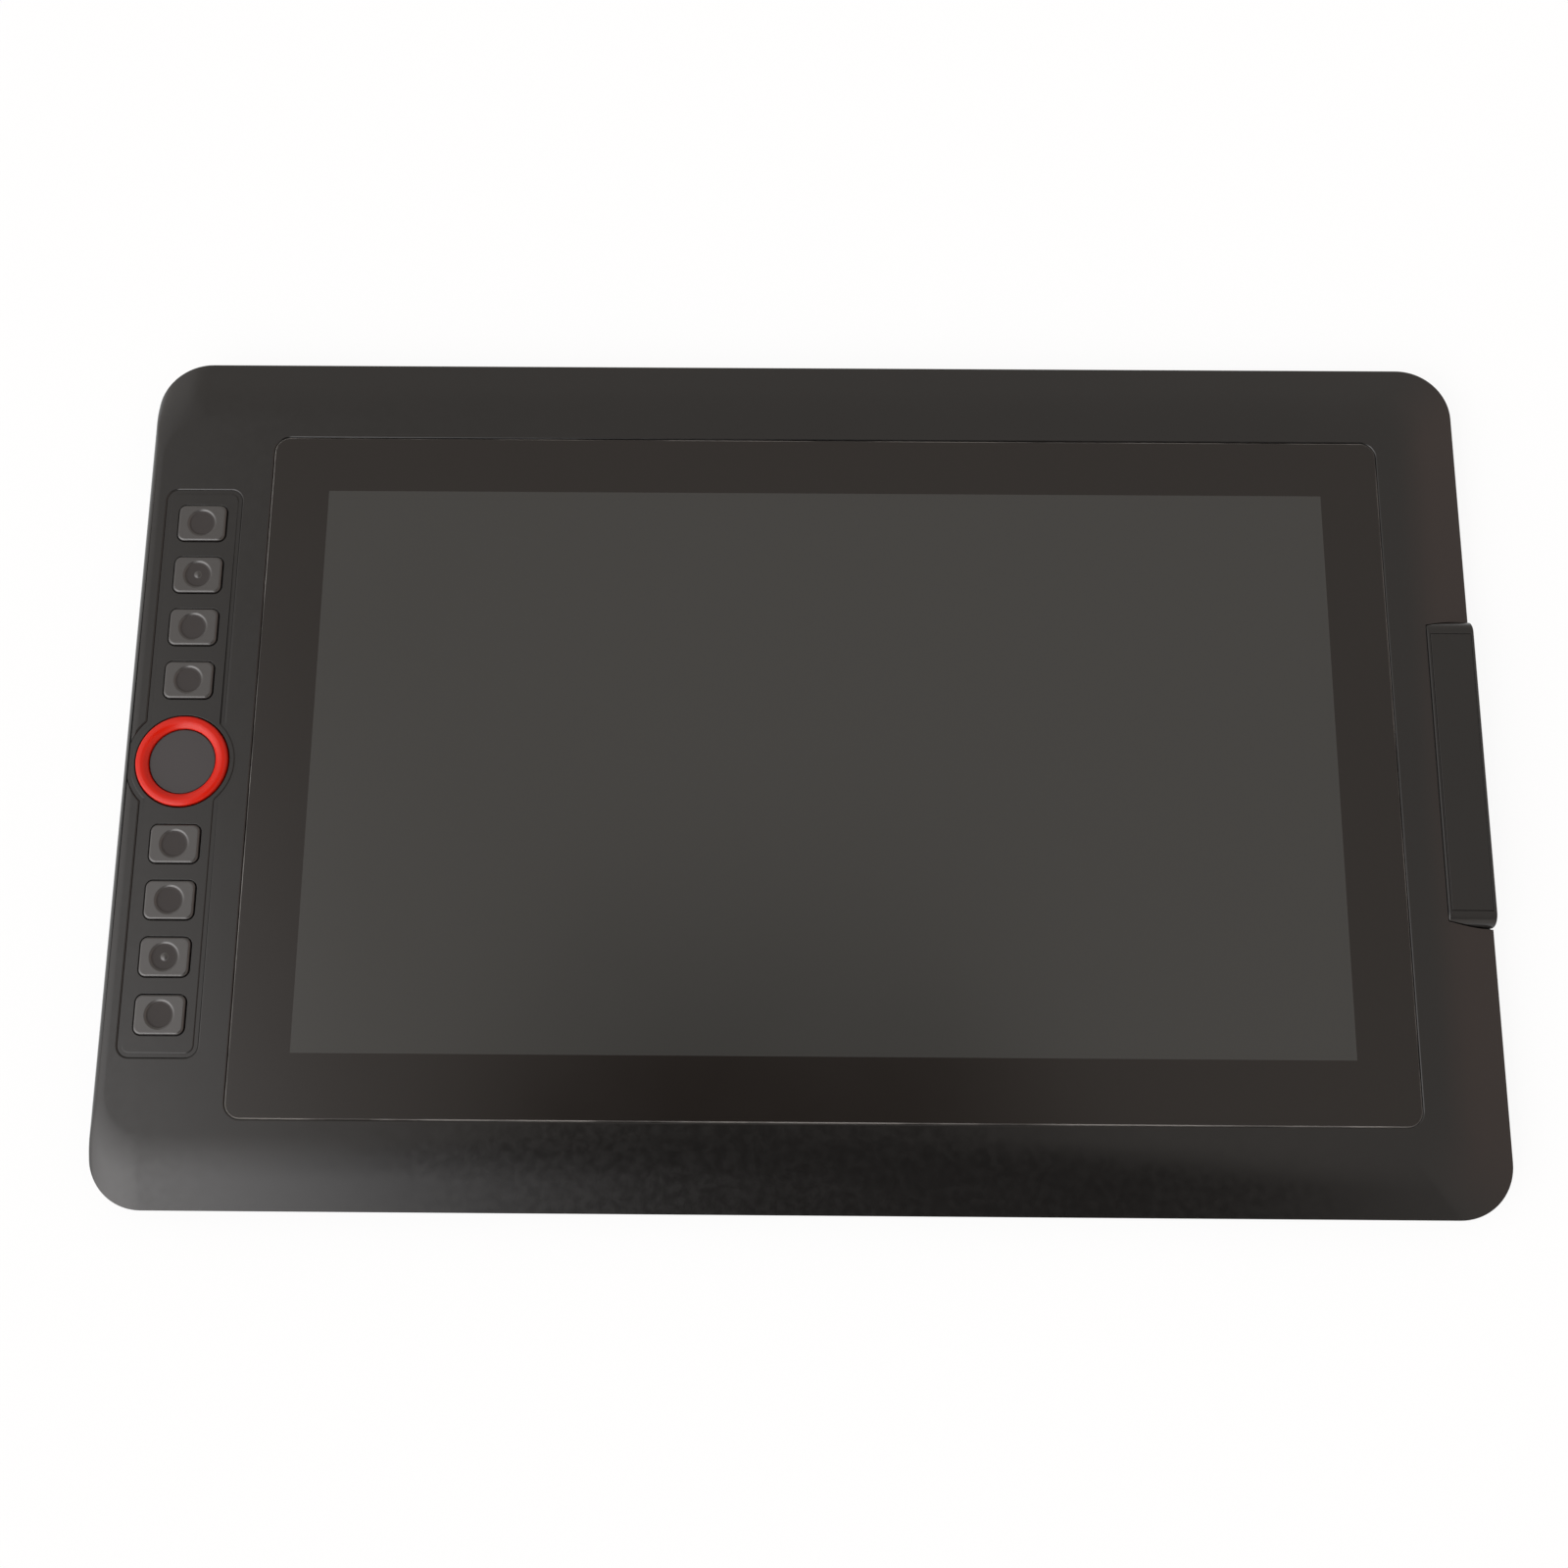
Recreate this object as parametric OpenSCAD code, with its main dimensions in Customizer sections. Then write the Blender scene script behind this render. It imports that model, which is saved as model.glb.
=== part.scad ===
// Pen display tablet: a slanted front frame with a bonded screen, eight keys and a turning ring.
// Millimetres. Origin under the middle of the body, +X right, +Y away from the user, +Z up.

/* [Body] */
// Overall width of the body
body_w = 390; // [386:1:400]
// Overall depth of the body
body_d = 250; // [246:1:262]
// Corner radius of the body seen from above
corner_r = 15.5; // [14:0.5:18]
// How far the front drops from its level zone to the rim
rim_drop = 4; // [3:0.25:4.5]
// Width of the slanted border along the top, right and bottom edges
slant_w = 20.5; // [18:0.5:22]
// Width of the rounded edge along the left side
left_round_w = 4.2; // [3.6:0.2:5]
// Wall of the front frame, measured downwards
front_wall = 2; // [1.8:0.1:2.2]
// Wall of both shells at the rim, measured sideways
side_wall = 2; // [1.6:0.1:2.4]
// Height from the table to the line where the shells meet
split_z = 7.2; // [7:0.1:7.5]

/* [Back] */
// Thickness of the rear cover floor
rear_floor_t = 1.8; // [1.6:0.1:2.2]
// Width of the rounded edge of the rear cover
rear_round_w = 9; // [7:0.5:10]
// Height of the rounded edge of the rear cover
rear_round_h = 3.8; // [3:0.2:4.4]
// Space between the rear floor and the support plate
bay_h = 3.3; // [3.1:0.1:3.8]
// Thickness of the locating lip inside the seam
lip_t = 0.9; // [0.7:0.1:1.1]
// How far the locating lip reaches below the seam
lip_h = 1; // [0.6:0.1:1.2]
// Gap between the locating lip and the rear cover
lip_gap = 0.4; // [0.3:0.1:0.6]
// How far the feet stand below the rear cover
foot_h = 1.2; // [0.8:0.1:1.6]
// Depth of the recess that holds each foot
foot_seat = 0.6; // [0.4:0.1:0.8]
// Length of a foot
foot_w = 46; // [30:1:60]
// Width of a foot
foot_d = 9; // [7:0.5:12]
// Distance of the foot centres from the side edges
foot_inset_x = 48; // [40:1:70]
// Distance of the foot centres from the front and back edges
foot_inset_y = 26; // [22:1:34]

/* [Screen] */
// Border between the left edge of the body and the glass
left_border = 37.2; // [36.6:0.2:40]
// Border between the glass and the right edge of the body
right_border = 24.8; // [24:0.2:26]
// Border between the glass and the far edge of the body
far_border = 25.25; // [24.5:0.05:26.5]
// Border between the glass and the near edge of the body
near_border = 24.45; // [24:0.05:26]
// Corner radius of the cover glass
glass_r = 4.5; // [3:0.5:6]
// Thickness of the cover glass
glass_t = 1.1; // [0.9:0.1:1.3]
// How far the glass lies below the level zone
glass_sink = 0.3; // [0.1:0.1:0.4]
// Gap round the glass
glass_gap = 0.3; // [0.2:0.1:0.4]
// Width of the bevelled lip round the glass
lip_bevel_w = 1; // [0.6:0.1:1.4]
// Width of the ledge that carries the glass
ledge_w = 4; // [3:0.5:5]
// Wall outside the glass opening that closes the screen bay
bay_wall = 2; // [1.6:0.2:2.6]
// Thickness of the foam gasket under the glass edge
gasket_t = 0.3; // [0.2:0.1:0.4]
// Thickness of the clear bonding film
bond_t = 0.2; // [0.1:0.1:0.3]
// How far the liquid crystal panel lies in from the sides of the glass
lcd_inset_x = 11.5; // [10:0.5:14]
// How far the liquid crystal panel lies in from the near and far edges of the glass
lcd_inset_y = 11.15; // [9.75:0.05:14]
// Thickness of the liquid crystal panel
lcd_t = 1.3; // [1.1:0.1:1.5]
// Thickness of the diffuser film stack
film_t = 0.5; // [0.3:0.1:0.6]
// Thickness of the light guide
guide_t = 0.8; // [0.6:0.1:1]
// Thickness of the reflector sheet
reflector_t = 0.2; // [0.1:0.1:0.3]
// Wall of the pressed backlight tray
tray_t = 0.3; // [0.2:0.1:0.4]
// Gap between the tray and what it holds
tray_gap = 0.5; // [0.3:0.1:0.8]
// Depth of the lamp strip beside the light guide
led_bar_d = 3; // [2.4:0.2:3.6]
// Thickness of the pen sensing board
digitizer_t = 0.7; // [0.5:0.1:0.9]
// Thickness of the magnetic shield sheet
shield_t = 0.3; // [0.2:0.1:0.4]
// Thickness of the support plate
plate_t = 1; // [0.8:0.1:1.2]

/* [Keys] */
// Distance of the key column from the left edge of the body
column_inset = 17.6; // [17.2:0.1:19]
// Width of a key
key_w = 14; // [13:0.5:14.5]
// Depth of a key
key_d = 11; // [10:0.5:12]
// Corner radius of a key
key_r = 2; // [1:0.5:3]
// Distance between neighbouring keys
key_pitch = 16.05; // [15.6:0.05:18]
// Distance of the first key from the dial axis
key_first = 24.1; // [23.6:0.1:27]
// Height of a key above its plate
key_proud = 0.7; // [0.5:0.1:1]
// Width of the rounding along a key's top edges
key_soft = 0.5; // [0.3:0.1:0.7]
// Diameter of the finger dish in a key
dish_d = 7.8; // [6:0.2:9]
// Depth of the finger dish in a key
dish_depth = 0.45; // [0.3:0.05:0.5]
// Radius of the finger dot on two of the keys
dot_r = 0.55; // [0.4:0.05:0.7]
// Travel of a key
key_travel = 0.5; // [0.3:0.05:0.6]
// Gap round a key in its plate
key_gap = 0.3; // [0.2:0.05:0.4]
// Width of the retaining flange under a key
key_flange_w = 0.9; // [0.7:0.1:1.1]
// Thickness of the retaining flange under a key
key_flange_t = 0.9; // [0.7:0.1:1.1]
// Gap above the retaining flange
key_rest_gap = 0.1; // [0.05:0.05:0.2]
// Length of the pusher under a key
pusher_h = 0.9; // [0.7:0.1:1.2]
// Border of the key plate beside the keys, to the middle of its groove
panel_side = 3.55; // [3.2:0.05:4]
// Border of the key plate past the last key, to the middle of its groove
panel_end = 5.65; // [4:0.05:8]
// Corner radius of the key plate at the middle of its groove
panel_r = 2.8; // [2:0.2:4]
// Width of the groove round the key plate
groove_w = 1.15; // [0.9:0.05:1.3]
// Depth of the groove round the key plate
groove_depth = 0.8; // [0.6:0.1:1]
// Thickness of the key plate below the groove
panel_flange_t = 1; // [0.8:0.1:1.2]
// Gap round the key plate in its pocket
panel_gap = 0.1; // [0.05:0.05:0.15]
// Width of the ledge that carries the key plate
panel_ledge = 1.3; // [1:0.1:1.5]
// Thickness of the ledge that carries the key plate
panel_ledge_t = 1.2; // [1:0.1:1.4]
// Land between the left edge of the body and the groove beside the dial
edge_land = 2.2; // [2:0.1:2.4]

/* [Switches] */
// Room between the key board's edge and the seam lip
board_edge = 3.4; // [2.6:0.2:5]
// Thickness of the small circuit boards
board_t = 1; // [0.8:0.1:1.2]
// Side of a key switch body
switch_w = 5.2; // [4.5:0.1:6]
// Height of a key switch body
switch_h = 1.6; // [1.4:0.1:1.8]
// Radius of a switch plunger
plunger_r = 1.2; // [0.9:0.1:1.4]
// How far a plunger stands out of its switch
plunger_out = 0.7; // [0.65:0.05:0.9]
// How far a plunger reaches into its switch
plunger_in = 0.4; // [0.3:0.05:0.45]
// Gap round a plunger in its switch
plunger_gap = 0.08; // [0.05:0.01:0.1]
// Thickness of the snap dome in a switch
dome_t = 0.1; // [0.08:0.01:0.12]

/* [Dial] */
// Outer radius of the turning ring
ring_r = 13.2; // [12.6:0.1:13.4]
// Inner radius of the turning ring
ring_in_r = 9.6; // [9:0.1:10]
// Height of the ring's crest above the key plate
ring_crest = 1.1; // [0.8:0.1:1.5]
// Rounding of the ring's outer and inner top edges
ring_soft = 0.8; // [0.5:0.1:1]
// Gap between the ring and the fixed parts
ring_gap = 0.3; // [0.2:0.05:0.4]
// Distance from the ring to the middle of the groove round it
bulge = 2.35; // [2.1:0.05:2.5]
// Depth of the centre disc below the ring's crest
cap_sink = 1.5; // [1:0.1:1.8]
// Thickness of the centre disc
cap_t = 1; // [0.8:0.1:1.2]
// Radius of the fixed post that the dial turns on
post_r = 6; // [5:0.1:6.4]
// Running clearance between the dial and its post
run_gap = 0.05; // [0.03:0.01:0.08]
// Wall of the dial's bearing sleeve
sleeve_t = 1.4; // [1:0.1:1.8]
// Thickness of the dial's web
web_t = 1; // [0.8:0.1:1.2]
// Number of windows in the dial's code skirt
code_count = 24; // [12:4:36]
// Height of the dial's web above the key board
web_lift = 1.6; // [1.5:0.05:1.8]
// Wall of the code skirt
skirt_t = 1; // [0.8:0.1:1.1]
// Height of the code skirt below the web
skirt_h = 0.9; // [0.7:0.05:1]
// Thickness of the fixed post's foot
hub_foot_t = 0.6; // [0.5:0.1:0.7]
// Radius of the centre disc's stem
stem_r = 2.5; // [2:0.1:3]
// Gap of a pressed stem or peg in its hole
peg_gap = 0.02; // [0.01:0.01:0.04]

/* [Port tab] */
// Width of the raised tab on the right edge
tab_w = 13.6; // [13:0.1:14.6]
// Length of the tab's top face
tab_l = 82; // [78:1:88]
// Gap between the tab and the front frame
tab_gap = 0.15; // [0.1:0.05:0.2]
// Wall of the tab housing
tab_wall = 1.6; // [1.4:0.1:1.8]
// Thickness of the tab's top
tab_top_t = 1.4; // [1.2:0.1:1.5]
// Width of the flange that holds the tab under the front frame
tab_flange_w = 6; // [5:0.5:6.4]
// Thickness of that flange
tab_flange_t = 0.8; // [0.6:0.1:1]
// Half length of the tab's flange
tab_flange_half = 27; // [24:1:28]
// Thickness of the pad that the flange is staked to, at its thin edge
pad_t = 0.1; // [0.05:0.05:0.3]
// Width of the data socket shell
usb_w = 8.94; // [8.9:0.01:9]
// Height of the data socket shell
usb_h = 3.26; // [3.2:0.01:3.3]
// Length of the data socket shell
usb_l = 7.4; // [7:0.1:8]
// Wall of the data socket shell
usb_wall = 0.3; // [0.25:0.05:0.35]
// Gap round the data socket in the housing
usb_gap = 0.15; // [0.1:0.05:0.2]
// Height of the data socket's axis above the seam
usb_lift = 2.5; // [2.4:0.05:2.55]
// Distance of the data socket from the middle of the tab
usb_y = -14; // [-20:0.5:-8]
// Distance of the power button from the middle of the tab
power_y = 14; // [8:0.5:18]
// Length of the power button
power_l = 9; // [7:0.5:11]
// Height of the power button
power_h = 2.4; // [2:0.1:2.6]
// Travel of the power button
power_travel = 0.4; // [0.3:0.05:0.45]
// Gap round the power button
power_gap = 0.2; // [0.15:0.05:0.3]
// Distance of the indicator from the power button
lamp_step = 12; // [10:0.5:14]
// Radius of the indicator lens
lens_r = 0.8; // [0.6:0.1:1]

/* [Fasteners] */
// Distance of the case screws from the edges of the body
screw_inset = 9.3; // [8.7:0.1:10]
// Spacing of the case screws along the long edges
screw_pitch = 120; // [100:1:130]
// Radius of the screw shanks
screw_r = 1; // [0.9:0.05:1.1]
// Radius of the screw heads
head_r = 1.9; // [1.7:0.1:2]
// Height of the screw heads
head_h = 0.8; // [0.6:0.1:0.9]
// Gap between a screw and the hole that it holds in
thread_gap = 0.02; // [0.01:0.01:0.04]
// Gap between a screw and the hole that it passes through
pass_gap = 0.2; // [0.1:0.05:0.3]
// Wall of the screw bosses
boss_wall = 1.6; // [1.2:0.1:1.8]
// How far a support plate screw reaches past the plate
plate_screw_reach = 2; // [1.6:0.1:2.4]
// How far a circuit board screw reaches past its board
board_screw_reach = 1.6; // [1.2:0.1:1.8]
// Distance of the board screws from a board's edges
post_inset = 3.5; // [3.2:0.1:4]
// Spare depth under a screw's tip
tip_gap = 0.2; // [0.1:0.05:0.4]

/* [Hidden] */
$fn = 48;
thin = 0.01;
over = 1;
form_steps = 5;
level_t = 0.3;

// Heights from the table upwards
rear_floor_z = foot_h + rear_floor_t;
plate_z = rear_floor_z + bay_h;
shield_z = plate_z + plate_t;
digitizer_z = shield_z + shield_t;
tray_z = digitizer_z + digitizer_t;
reflector_z = tray_z + tray_t;
guide_z = reflector_z + reflector_t;
film_z = guide_z + guide_t;
lcd_z = film_z + film_t;
bond_z = lcd_z + lcd_t;
glass_z = bond_z + bond_t;
front_z = glass_z + glass_t + glass_sink;
ledge_z = glass_z - gasket_t;

// Screen places
glass_w = body_w - left_border - right_border;
glass_d = body_d - far_border - near_border;
screen_x = (left_border - right_border) / 2;
screen_y = (near_border - far_border) / 2;
lcd_w = glass_w - 2 * lcd_inset_x;
lcd_d = glass_d - 2 * lcd_inset_y;
opening_w = glass_w + 2 * glass_gap;
opening_d = glass_d + 2 * glass_gap;
opening_r = glass_r + glass_gap;
bay_w = opening_w - 2 * ledge_w - 2 * glass_gap;
bay_d = opening_d - 2 * ledge_w - 2 * glass_gap;
bay_out_w = opening_w + 2 * bay_wall;
bay_out_d = opening_d + 2 * bay_wall;
tray_w = lcd_w + 2 * (tray_gap + tray_t);
tray_d = lcd_d + 2 * (tray_gap + tray_t);
plate_edge = 1;
plate_w = bay_out_w - 2 * plate_edge;
plate_d = bay_out_d - 2 * plate_edge;

// Key column heights from the front downwards
panel_flange_z = front_z - groove_depth;
panel_z = panel_flange_z - panel_flange_t;
key_flange_top = panel_z - key_rest_gap;
key_flange_z = key_flange_top - key_flange_t;
pusher_z = key_flange_z - pusher_h;
switch_top = pusher_z - plunger_out;
key_board_top = switch_top - switch_h;
key_board_z = key_board_top - board_t;

// Key column places
column_x = -body_w / 2 + column_inset;
both = [1, -1];
key_rows = [3, 2, 1, 0];
upper_keys = [for (i = key_rows) key_first + i * key_pitch];
key_ys = concat(upper_keys, [for (i = [3:-1:0]) -upper_keys[i]]);
dot_keys = [1, 6];
panel_w = key_w + 2 * panel_side;
panel_half = key_first + 3 * key_pitch + key_d / 2 + panel_end;
groove_half = groove_w / 2;
bulge_r = ring_r + bulge;
panel_left = -body_w / 2 + edge_land + groove_half;
key_board_left = column_inset - side_wall - lip_gap - lip_t - board_edge;
board_past_ring = 2;
key_board_right = ring_r + board_past_ring;
key_board_inset = 3;
key_board_half = panel_half - key_board_inset;
key_post_xs = [-5, 9];
key_post_y = key_board_half - post_inset;
pusher_r = plunger_r + 0.8;
panel_rim = 0.9;
dome_gap = 0.05;
dome_z = switch_top - plunger_in - key_travel - dome_t - dome_gap;

// Dial heights and places
ring_top = front_z + ring_crest;
cap_top = ring_top - cap_sink;
hub_top = cap_top - cap_t;
hub_foot_top = key_board_top + hub_foot_t;
sleeve_r = post_r + run_gap;
sleeve_out_r = sleeve_r + sleeve_t;
web_z = key_board_top + web_lift;
web_top = web_z + web_t;
web_inset = 0.2;
web_r = ring_r - web_inset;
skirt_inset = 0.8;
skirt_r = ring_r - skirt_inset;
skirt_in_r = skirt_r - skirt_t;
skirt_z = web_z - skirt_h;
hub_foot_rim = 1.2;
hub_foot_r = sleeve_out_r + hub_foot_rim;
stem_l = 2.6;
peg_inset = 1;
float_gap = 0.15;
sensor_gap = 0.2;
cap_r = ring_in_r - ring_gap / 2;

// Port tab heights and places
rim_z = front_z - rim_drop;
tab_x = body_w / 2 - tab_w;
tab_half = tab_l / 2;
tab_foot_half = tab_half + rim_drop;
tab_ceiling = front_z - tab_top_t;
tab_out_x = body_w / 2;
tab_in_x = tab_out_x - tab_wall;
lens_sink = 0.1;
lens_in = 0.8;
pad_z = front_z - front_wall - rim_drop * (1 - (tab_w - side_wall) / slant_w) - pad_t;
tab_flange_z = pad_z - tab_flange_t;
usb_z = split_z + usb_lift;
usb_face_x = tab_out_x - lens_sink;
usb_back = 0.8;
tongue_w = 6.6;
tongue_t = 0.7;
port_board_top = usb_z - usb_h / 2;
port_board_z = port_board_top - board_t;
board_gap = 0.8;
port_board_x = screen_x + bay_out_w / 2 + board_gap;
port_board_end = tab_in_x - board_gap;
port_board_inset = 5;
port_board_half = tab_half - port_board_inset;
lamp_y = power_y + lamp_step;
power_lift = 0.2;
power_z = usb_z + power_lift;
power_sink = 0.2;
power_face_x = tab_out_x - power_sink;
power_flange_t = 0.9;
power_flange_w = 0.8;
power_flange_up = 0.35;
power_plunger_r = plunger_r / 2;
power_plunger_in = 1.6;
power_flange_x = tab_in_x - key_rest_gap - power_flange_t;
power_switch_l = 3.4;
power_switch_h = 3.1;
power_switch_back = 0.8;
power_switch_out = 1.2;
power_switch_x = power_flange_x - power_switch_out - power_switch_l;
stake_r = 0.8;
stake_head = 0.15;
stake_ys = [for (i = [-3:2:3]) i * tab_flange_half / 4];
stake_x = tab_x - tab_flange_w / 2;

// Main board places under the screen
main_w = 118;
main_d = 66;
main_shift = 0.2378 * glass_w;
main_x = screen_x + main_shift;
main_y = -8;
main_lift = 0.8;
main_z = rear_floor_z + main_lift;
main_top = main_z + board_t;
connector_h = 1;
connector_d = 4;
ribbon_t = 0.2;
ribbon_lift = 0.3;
ribbon_z = main_top + ribbon_lift;
ribbon_w = 24;
ribbon_tuck = 5;
ribbon_step = 22;
display_ribbon_x = main_x + ribbon_step;
digitizer_ribbon_x = main_x - ribbon_step;
key_ribbon_y = main_y;
key_ribbon_w = 10;
port_ribbon_w = 14;
connector_inset = 1 + connector_d / 2;
connector_rim = 2;
connector_y = main_y - main_d / 2 + connector_inset;
connector_x = main_x - main_w / 2 + connector_inset;
port_connector_x = main_x + main_w / 2 - connector_inset;
ribbon_clear = 1;
slot_d = 2.2;
display_drop_y = screen_y - tray_d / 2 - ribbon_clear;
port_drop_gap = 0.6;
port_drop_x = screen_x + plate_w / 2 + port_drop_gap;
// Chips on the main board: place from its middle, then width, depth and height
chips = [[8, 6, 16, 16, 1], [-18, 8, 10, 10, 0.9], [30, 12, 7, 7, 0.8], [-20, -12, 8, 6, 0.8],
    [-30, 24, 5, 3, 0.9], [-16, 24, 5, 3, 0.9], [-2, 24, 5, 3, 0.9], [12, 24, 5, 3, 0.9],
    [26, 24, 5, 3, 0.9]];

// Fastener places
boss_below = 1.8;
boss_split = split_z - boss_below;
boss_r = screw_r + pass_gap + boss_wall;
recess_extra = 0.6;
case_boss_r = boss_r + recess_extra;
seat_t = 2.6;
screw_seat = boss_split - seat_t;
tip_below = 0.6;
case_screw_top = rim_z - tip_below;
row_y = body_d / 2 - screw_inset;
side_x = body_w / 2 - screw_inset;
left_screw_past = 14;
left_screw_y = panel_half + left_screw_past;
right_screw_past = 25;
right_screw_y = tab_foot_half + right_screw_past;
case_screws_at = concat(
    [for (i = [-1:1], s = both) [i * screw_pitch, s * row_y]],
    [for (s = both) [-side_x, s * left_screw_y]],
    [for (s = both) [side_x, s * right_screw_y]]);
plate_screw_x = bay_w / 2 + (bay_out_w - bay_w) / 4;
plate_screw_y = bay_d / 2 + (bay_out_d - bay_d) / 4;
plate_step_x = 0.335 * glass_w;
plate_step_y = 0.3 * glass_d;
plate_screws_at = concat(
    [for (s = both, t = both) [screen_x + s * plate_screw_x, screen_y + t * plate_step_y]],
    [for (s = both, t = [-1:1]) [screen_x + t * plate_step_x, screen_y + s * plate_screw_y]]);
key_posts_at = [for (s = both, x = key_post_xs) [column_x + x, s * key_post_y]];
main_posts_at = [for (s = both, t = both)
    [main_x + s * (main_w / 2 - post_inset), main_y + t * (main_d / 2 - post_inset)]];
port_posts_at = [for (s = both) [port_board_x + post_inset, s * (port_board_half - post_inset)]];

// Flat outlines

module rounded_rect(w, d, r) {
    square([w - 2 * r, d], center = true);
    square([w, d - 2 * r], center = true);
    for (x = both, y = both)
        translate([x * (w / 2 - r), y * (d / 2 - r)])
            circle(r);
}

module pill(l, h) {
    square([l - h, h], center = true);
    for (x = both)
        translate([x * (l - h) / 2, 0])
            circle(h / 2);
}

// The key plate's outline: a long rounded strip with a round bulge at the dial
module panel_outline(grow) {
    intersection() {
        union() {
            rounded_rect(panel_w + 2 * grow, 2 * (panel_half + grow), panel_r + grow);
            circle(bulge_r + grow);
        }
        translate([panel_left - grow - column_x, -body_d / 2])
            square([body_w, body_d]);
    }
}

module slab(w, d, r, z, h) {
    translate([0, 0, z])
        linear_extrude(h)
            rounded_rect(w, d, r);
}

module sheet(w, d, z, h) {
    translate([screen_x - w / 2, screen_y - d / 2, z])
        cube([w, d, h]);
}

// A level of a shell, given how far each side lies in from the body's edge
module shell_level(left, rest, r, z, h) {
    w = body_w - left - rest;
    translate([(left - rest) / 2, 0, z])
        linear_extrude(h)
            rounded_rect(w, body_d - 2 * rest, r, $fn = 40);
}

// The front's outer form down to base_z, moved in and down by its wall for the space inside
module front_form(inward, lower, base_z) {
    hull() {
        for (i = [0:form_steps - 1]) {
            turn = 90 * i / form_steps;
            drop = rim_drop * (1 - cos(turn));
            left = inward + left_round_w * (1 - sin(turn));
            rest = inward + slant_w * (1 - drop / rim_drop);
            level_r = max(2, corner_r - rest);
            shell_level(left, rest, level_r, front_z - lower - drop - level_t, level_t);
        }
        shell_level(inward, inward, corner_r - inward, base_z, rim_z - lower - base_z);
    }
}

// The rear cover's outer form up to top_z, moved in and up by its wall for the space inside
module rear_form(inward, lift, top_z) {
    straight_z = foot_h + lift + rear_round_h;
    hull() {
        for (i = [0:form_steps - 1]) {
            turn = 90 * i / form_steps;
            rise = rear_round_h * (1 - cos(turn));
            side = inward + rear_round_w * (1 - sin(turn));
            level_r = corner_r - (inward + side) / 2;
            shell_level(side, side, level_r, foot_h + lift + rise, level_t);
        }
        shell_level(inward, inward, corner_r - inward, straight_z, top_z - straight_z);
    }
}

module at_points(points) {
    for (p = points)
        translate([p[0], p[1], 0])
            children();
}

module post(r, z0, z1) {
    translate([0, 0, z0])
        cylinder(r = r, h = z1 - z0);
}

module bore(r, z0, z1) {
    post(r, z0, z1);
}

// Hole for a board screw in the top of its post
module post_bore(top) {
    bore(screw_r + thread_gap, top - board_screw_reach - tip_gap, top + over);
}

module tube(r_out, r_in, z0, z1) {
    difference() {
        post(r_out, z0, z1);
        bore(r_in, z0 - over, z1 + over);
    }
}

// A screw with a crossed drive, its head down and its tip up
module screw_up(seat_z, tip_z) {
    drive_l = 1.2 * head_r;
    drive_w = 0.28 * head_r;
    drive_depth = 0.6 * head_h;
    difference() {
        union() {
            post(screw_r, seat_z - head_h, tip_z);
            post(head_r, seat_z - head_h, seat_z);
        }
        for (a = [0, 90])
            rotate(a)
                translate([-drive_l / 2, -drive_w / 2, seat_z - head_h - over])
                    cube([drive_l, drive_w, drive_depth + over]);
    }
}

// Shells

module rear_cover() {
    color("dimgray")
        difference() {
            union() {
                difference() {
                    rear_form(0, 0, split_z);
                    rear_form(side_wall, rear_floor_t, split_z + over);
                }
                intersection() {
                    rear_form(side_wall / 2, rear_floor_t / 2, front_z);
                    union() {
                        at_points(case_screws_at)
                            post(case_boss_r, foot_h, boss_split);
                        at_points(key_posts_at)
                            post(boss_r, foot_h, key_board_z);
                        at_points(main_posts_at)
                            post(boss_r, foot_h, main_z);
                        at_points(port_posts_at)
                            post(boss_r, foot_h, port_board_z);
                    }
                }
            }
            at_points(case_screws_at) {
                bore(screw_r + pass_gap, 0, boss_split + over);
                bore(head_r + pass_gap, 0, screw_seat);
            }
            at_points(key_posts_at)
                post_bore(key_board_z);
            at_points(port_posts_at)
                post_bore(port_board_z);
            at_points(main_posts_at)
                post_bore(main_z);
            foot_places()
                foot(foot_w + 2 * pass_gap, foot_d + 2 * pass_gap, foot_h - over, foot_seat + over);
        }
}

module foot_places() {
    for (x = both, y = both)
        translate([x * (body_w / 2 - foot_inset_x), y * (body_d / 2 - foot_inset_y), 0])
            children();
}

module rubber_feet() {
    color("black")
        foot_places()
            foot(foot_w, foot_d, 0, foot_h + foot_seat);
}

module foot(l, h, z, t) {
    translate([0, 0, z])
        linear_extrude(t)
            pill(l, h);
}

module case_screws() {
    color("silver")
        at_points(case_screws_at)
            screw_up(screw_seat, case_screw_top);
}

module inner_screws() {
    color("silver") {
        at_points(plate_screws_at)
            screw_up(plate_z, shield_z + plate_screw_reach);
        at_points(key_posts_at)
            board_screw(key_board_top);
        at_points(port_posts_at)
            board_screw(port_board_top);
        at_points(main_posts_at)
            board_screw(main_top);
    }
}

module board_screw(top) {
    translate([0, 0, top])
        mirror([0, 0, 1])
            screw_up(0, board_t + board_screw_reach);
}

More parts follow.
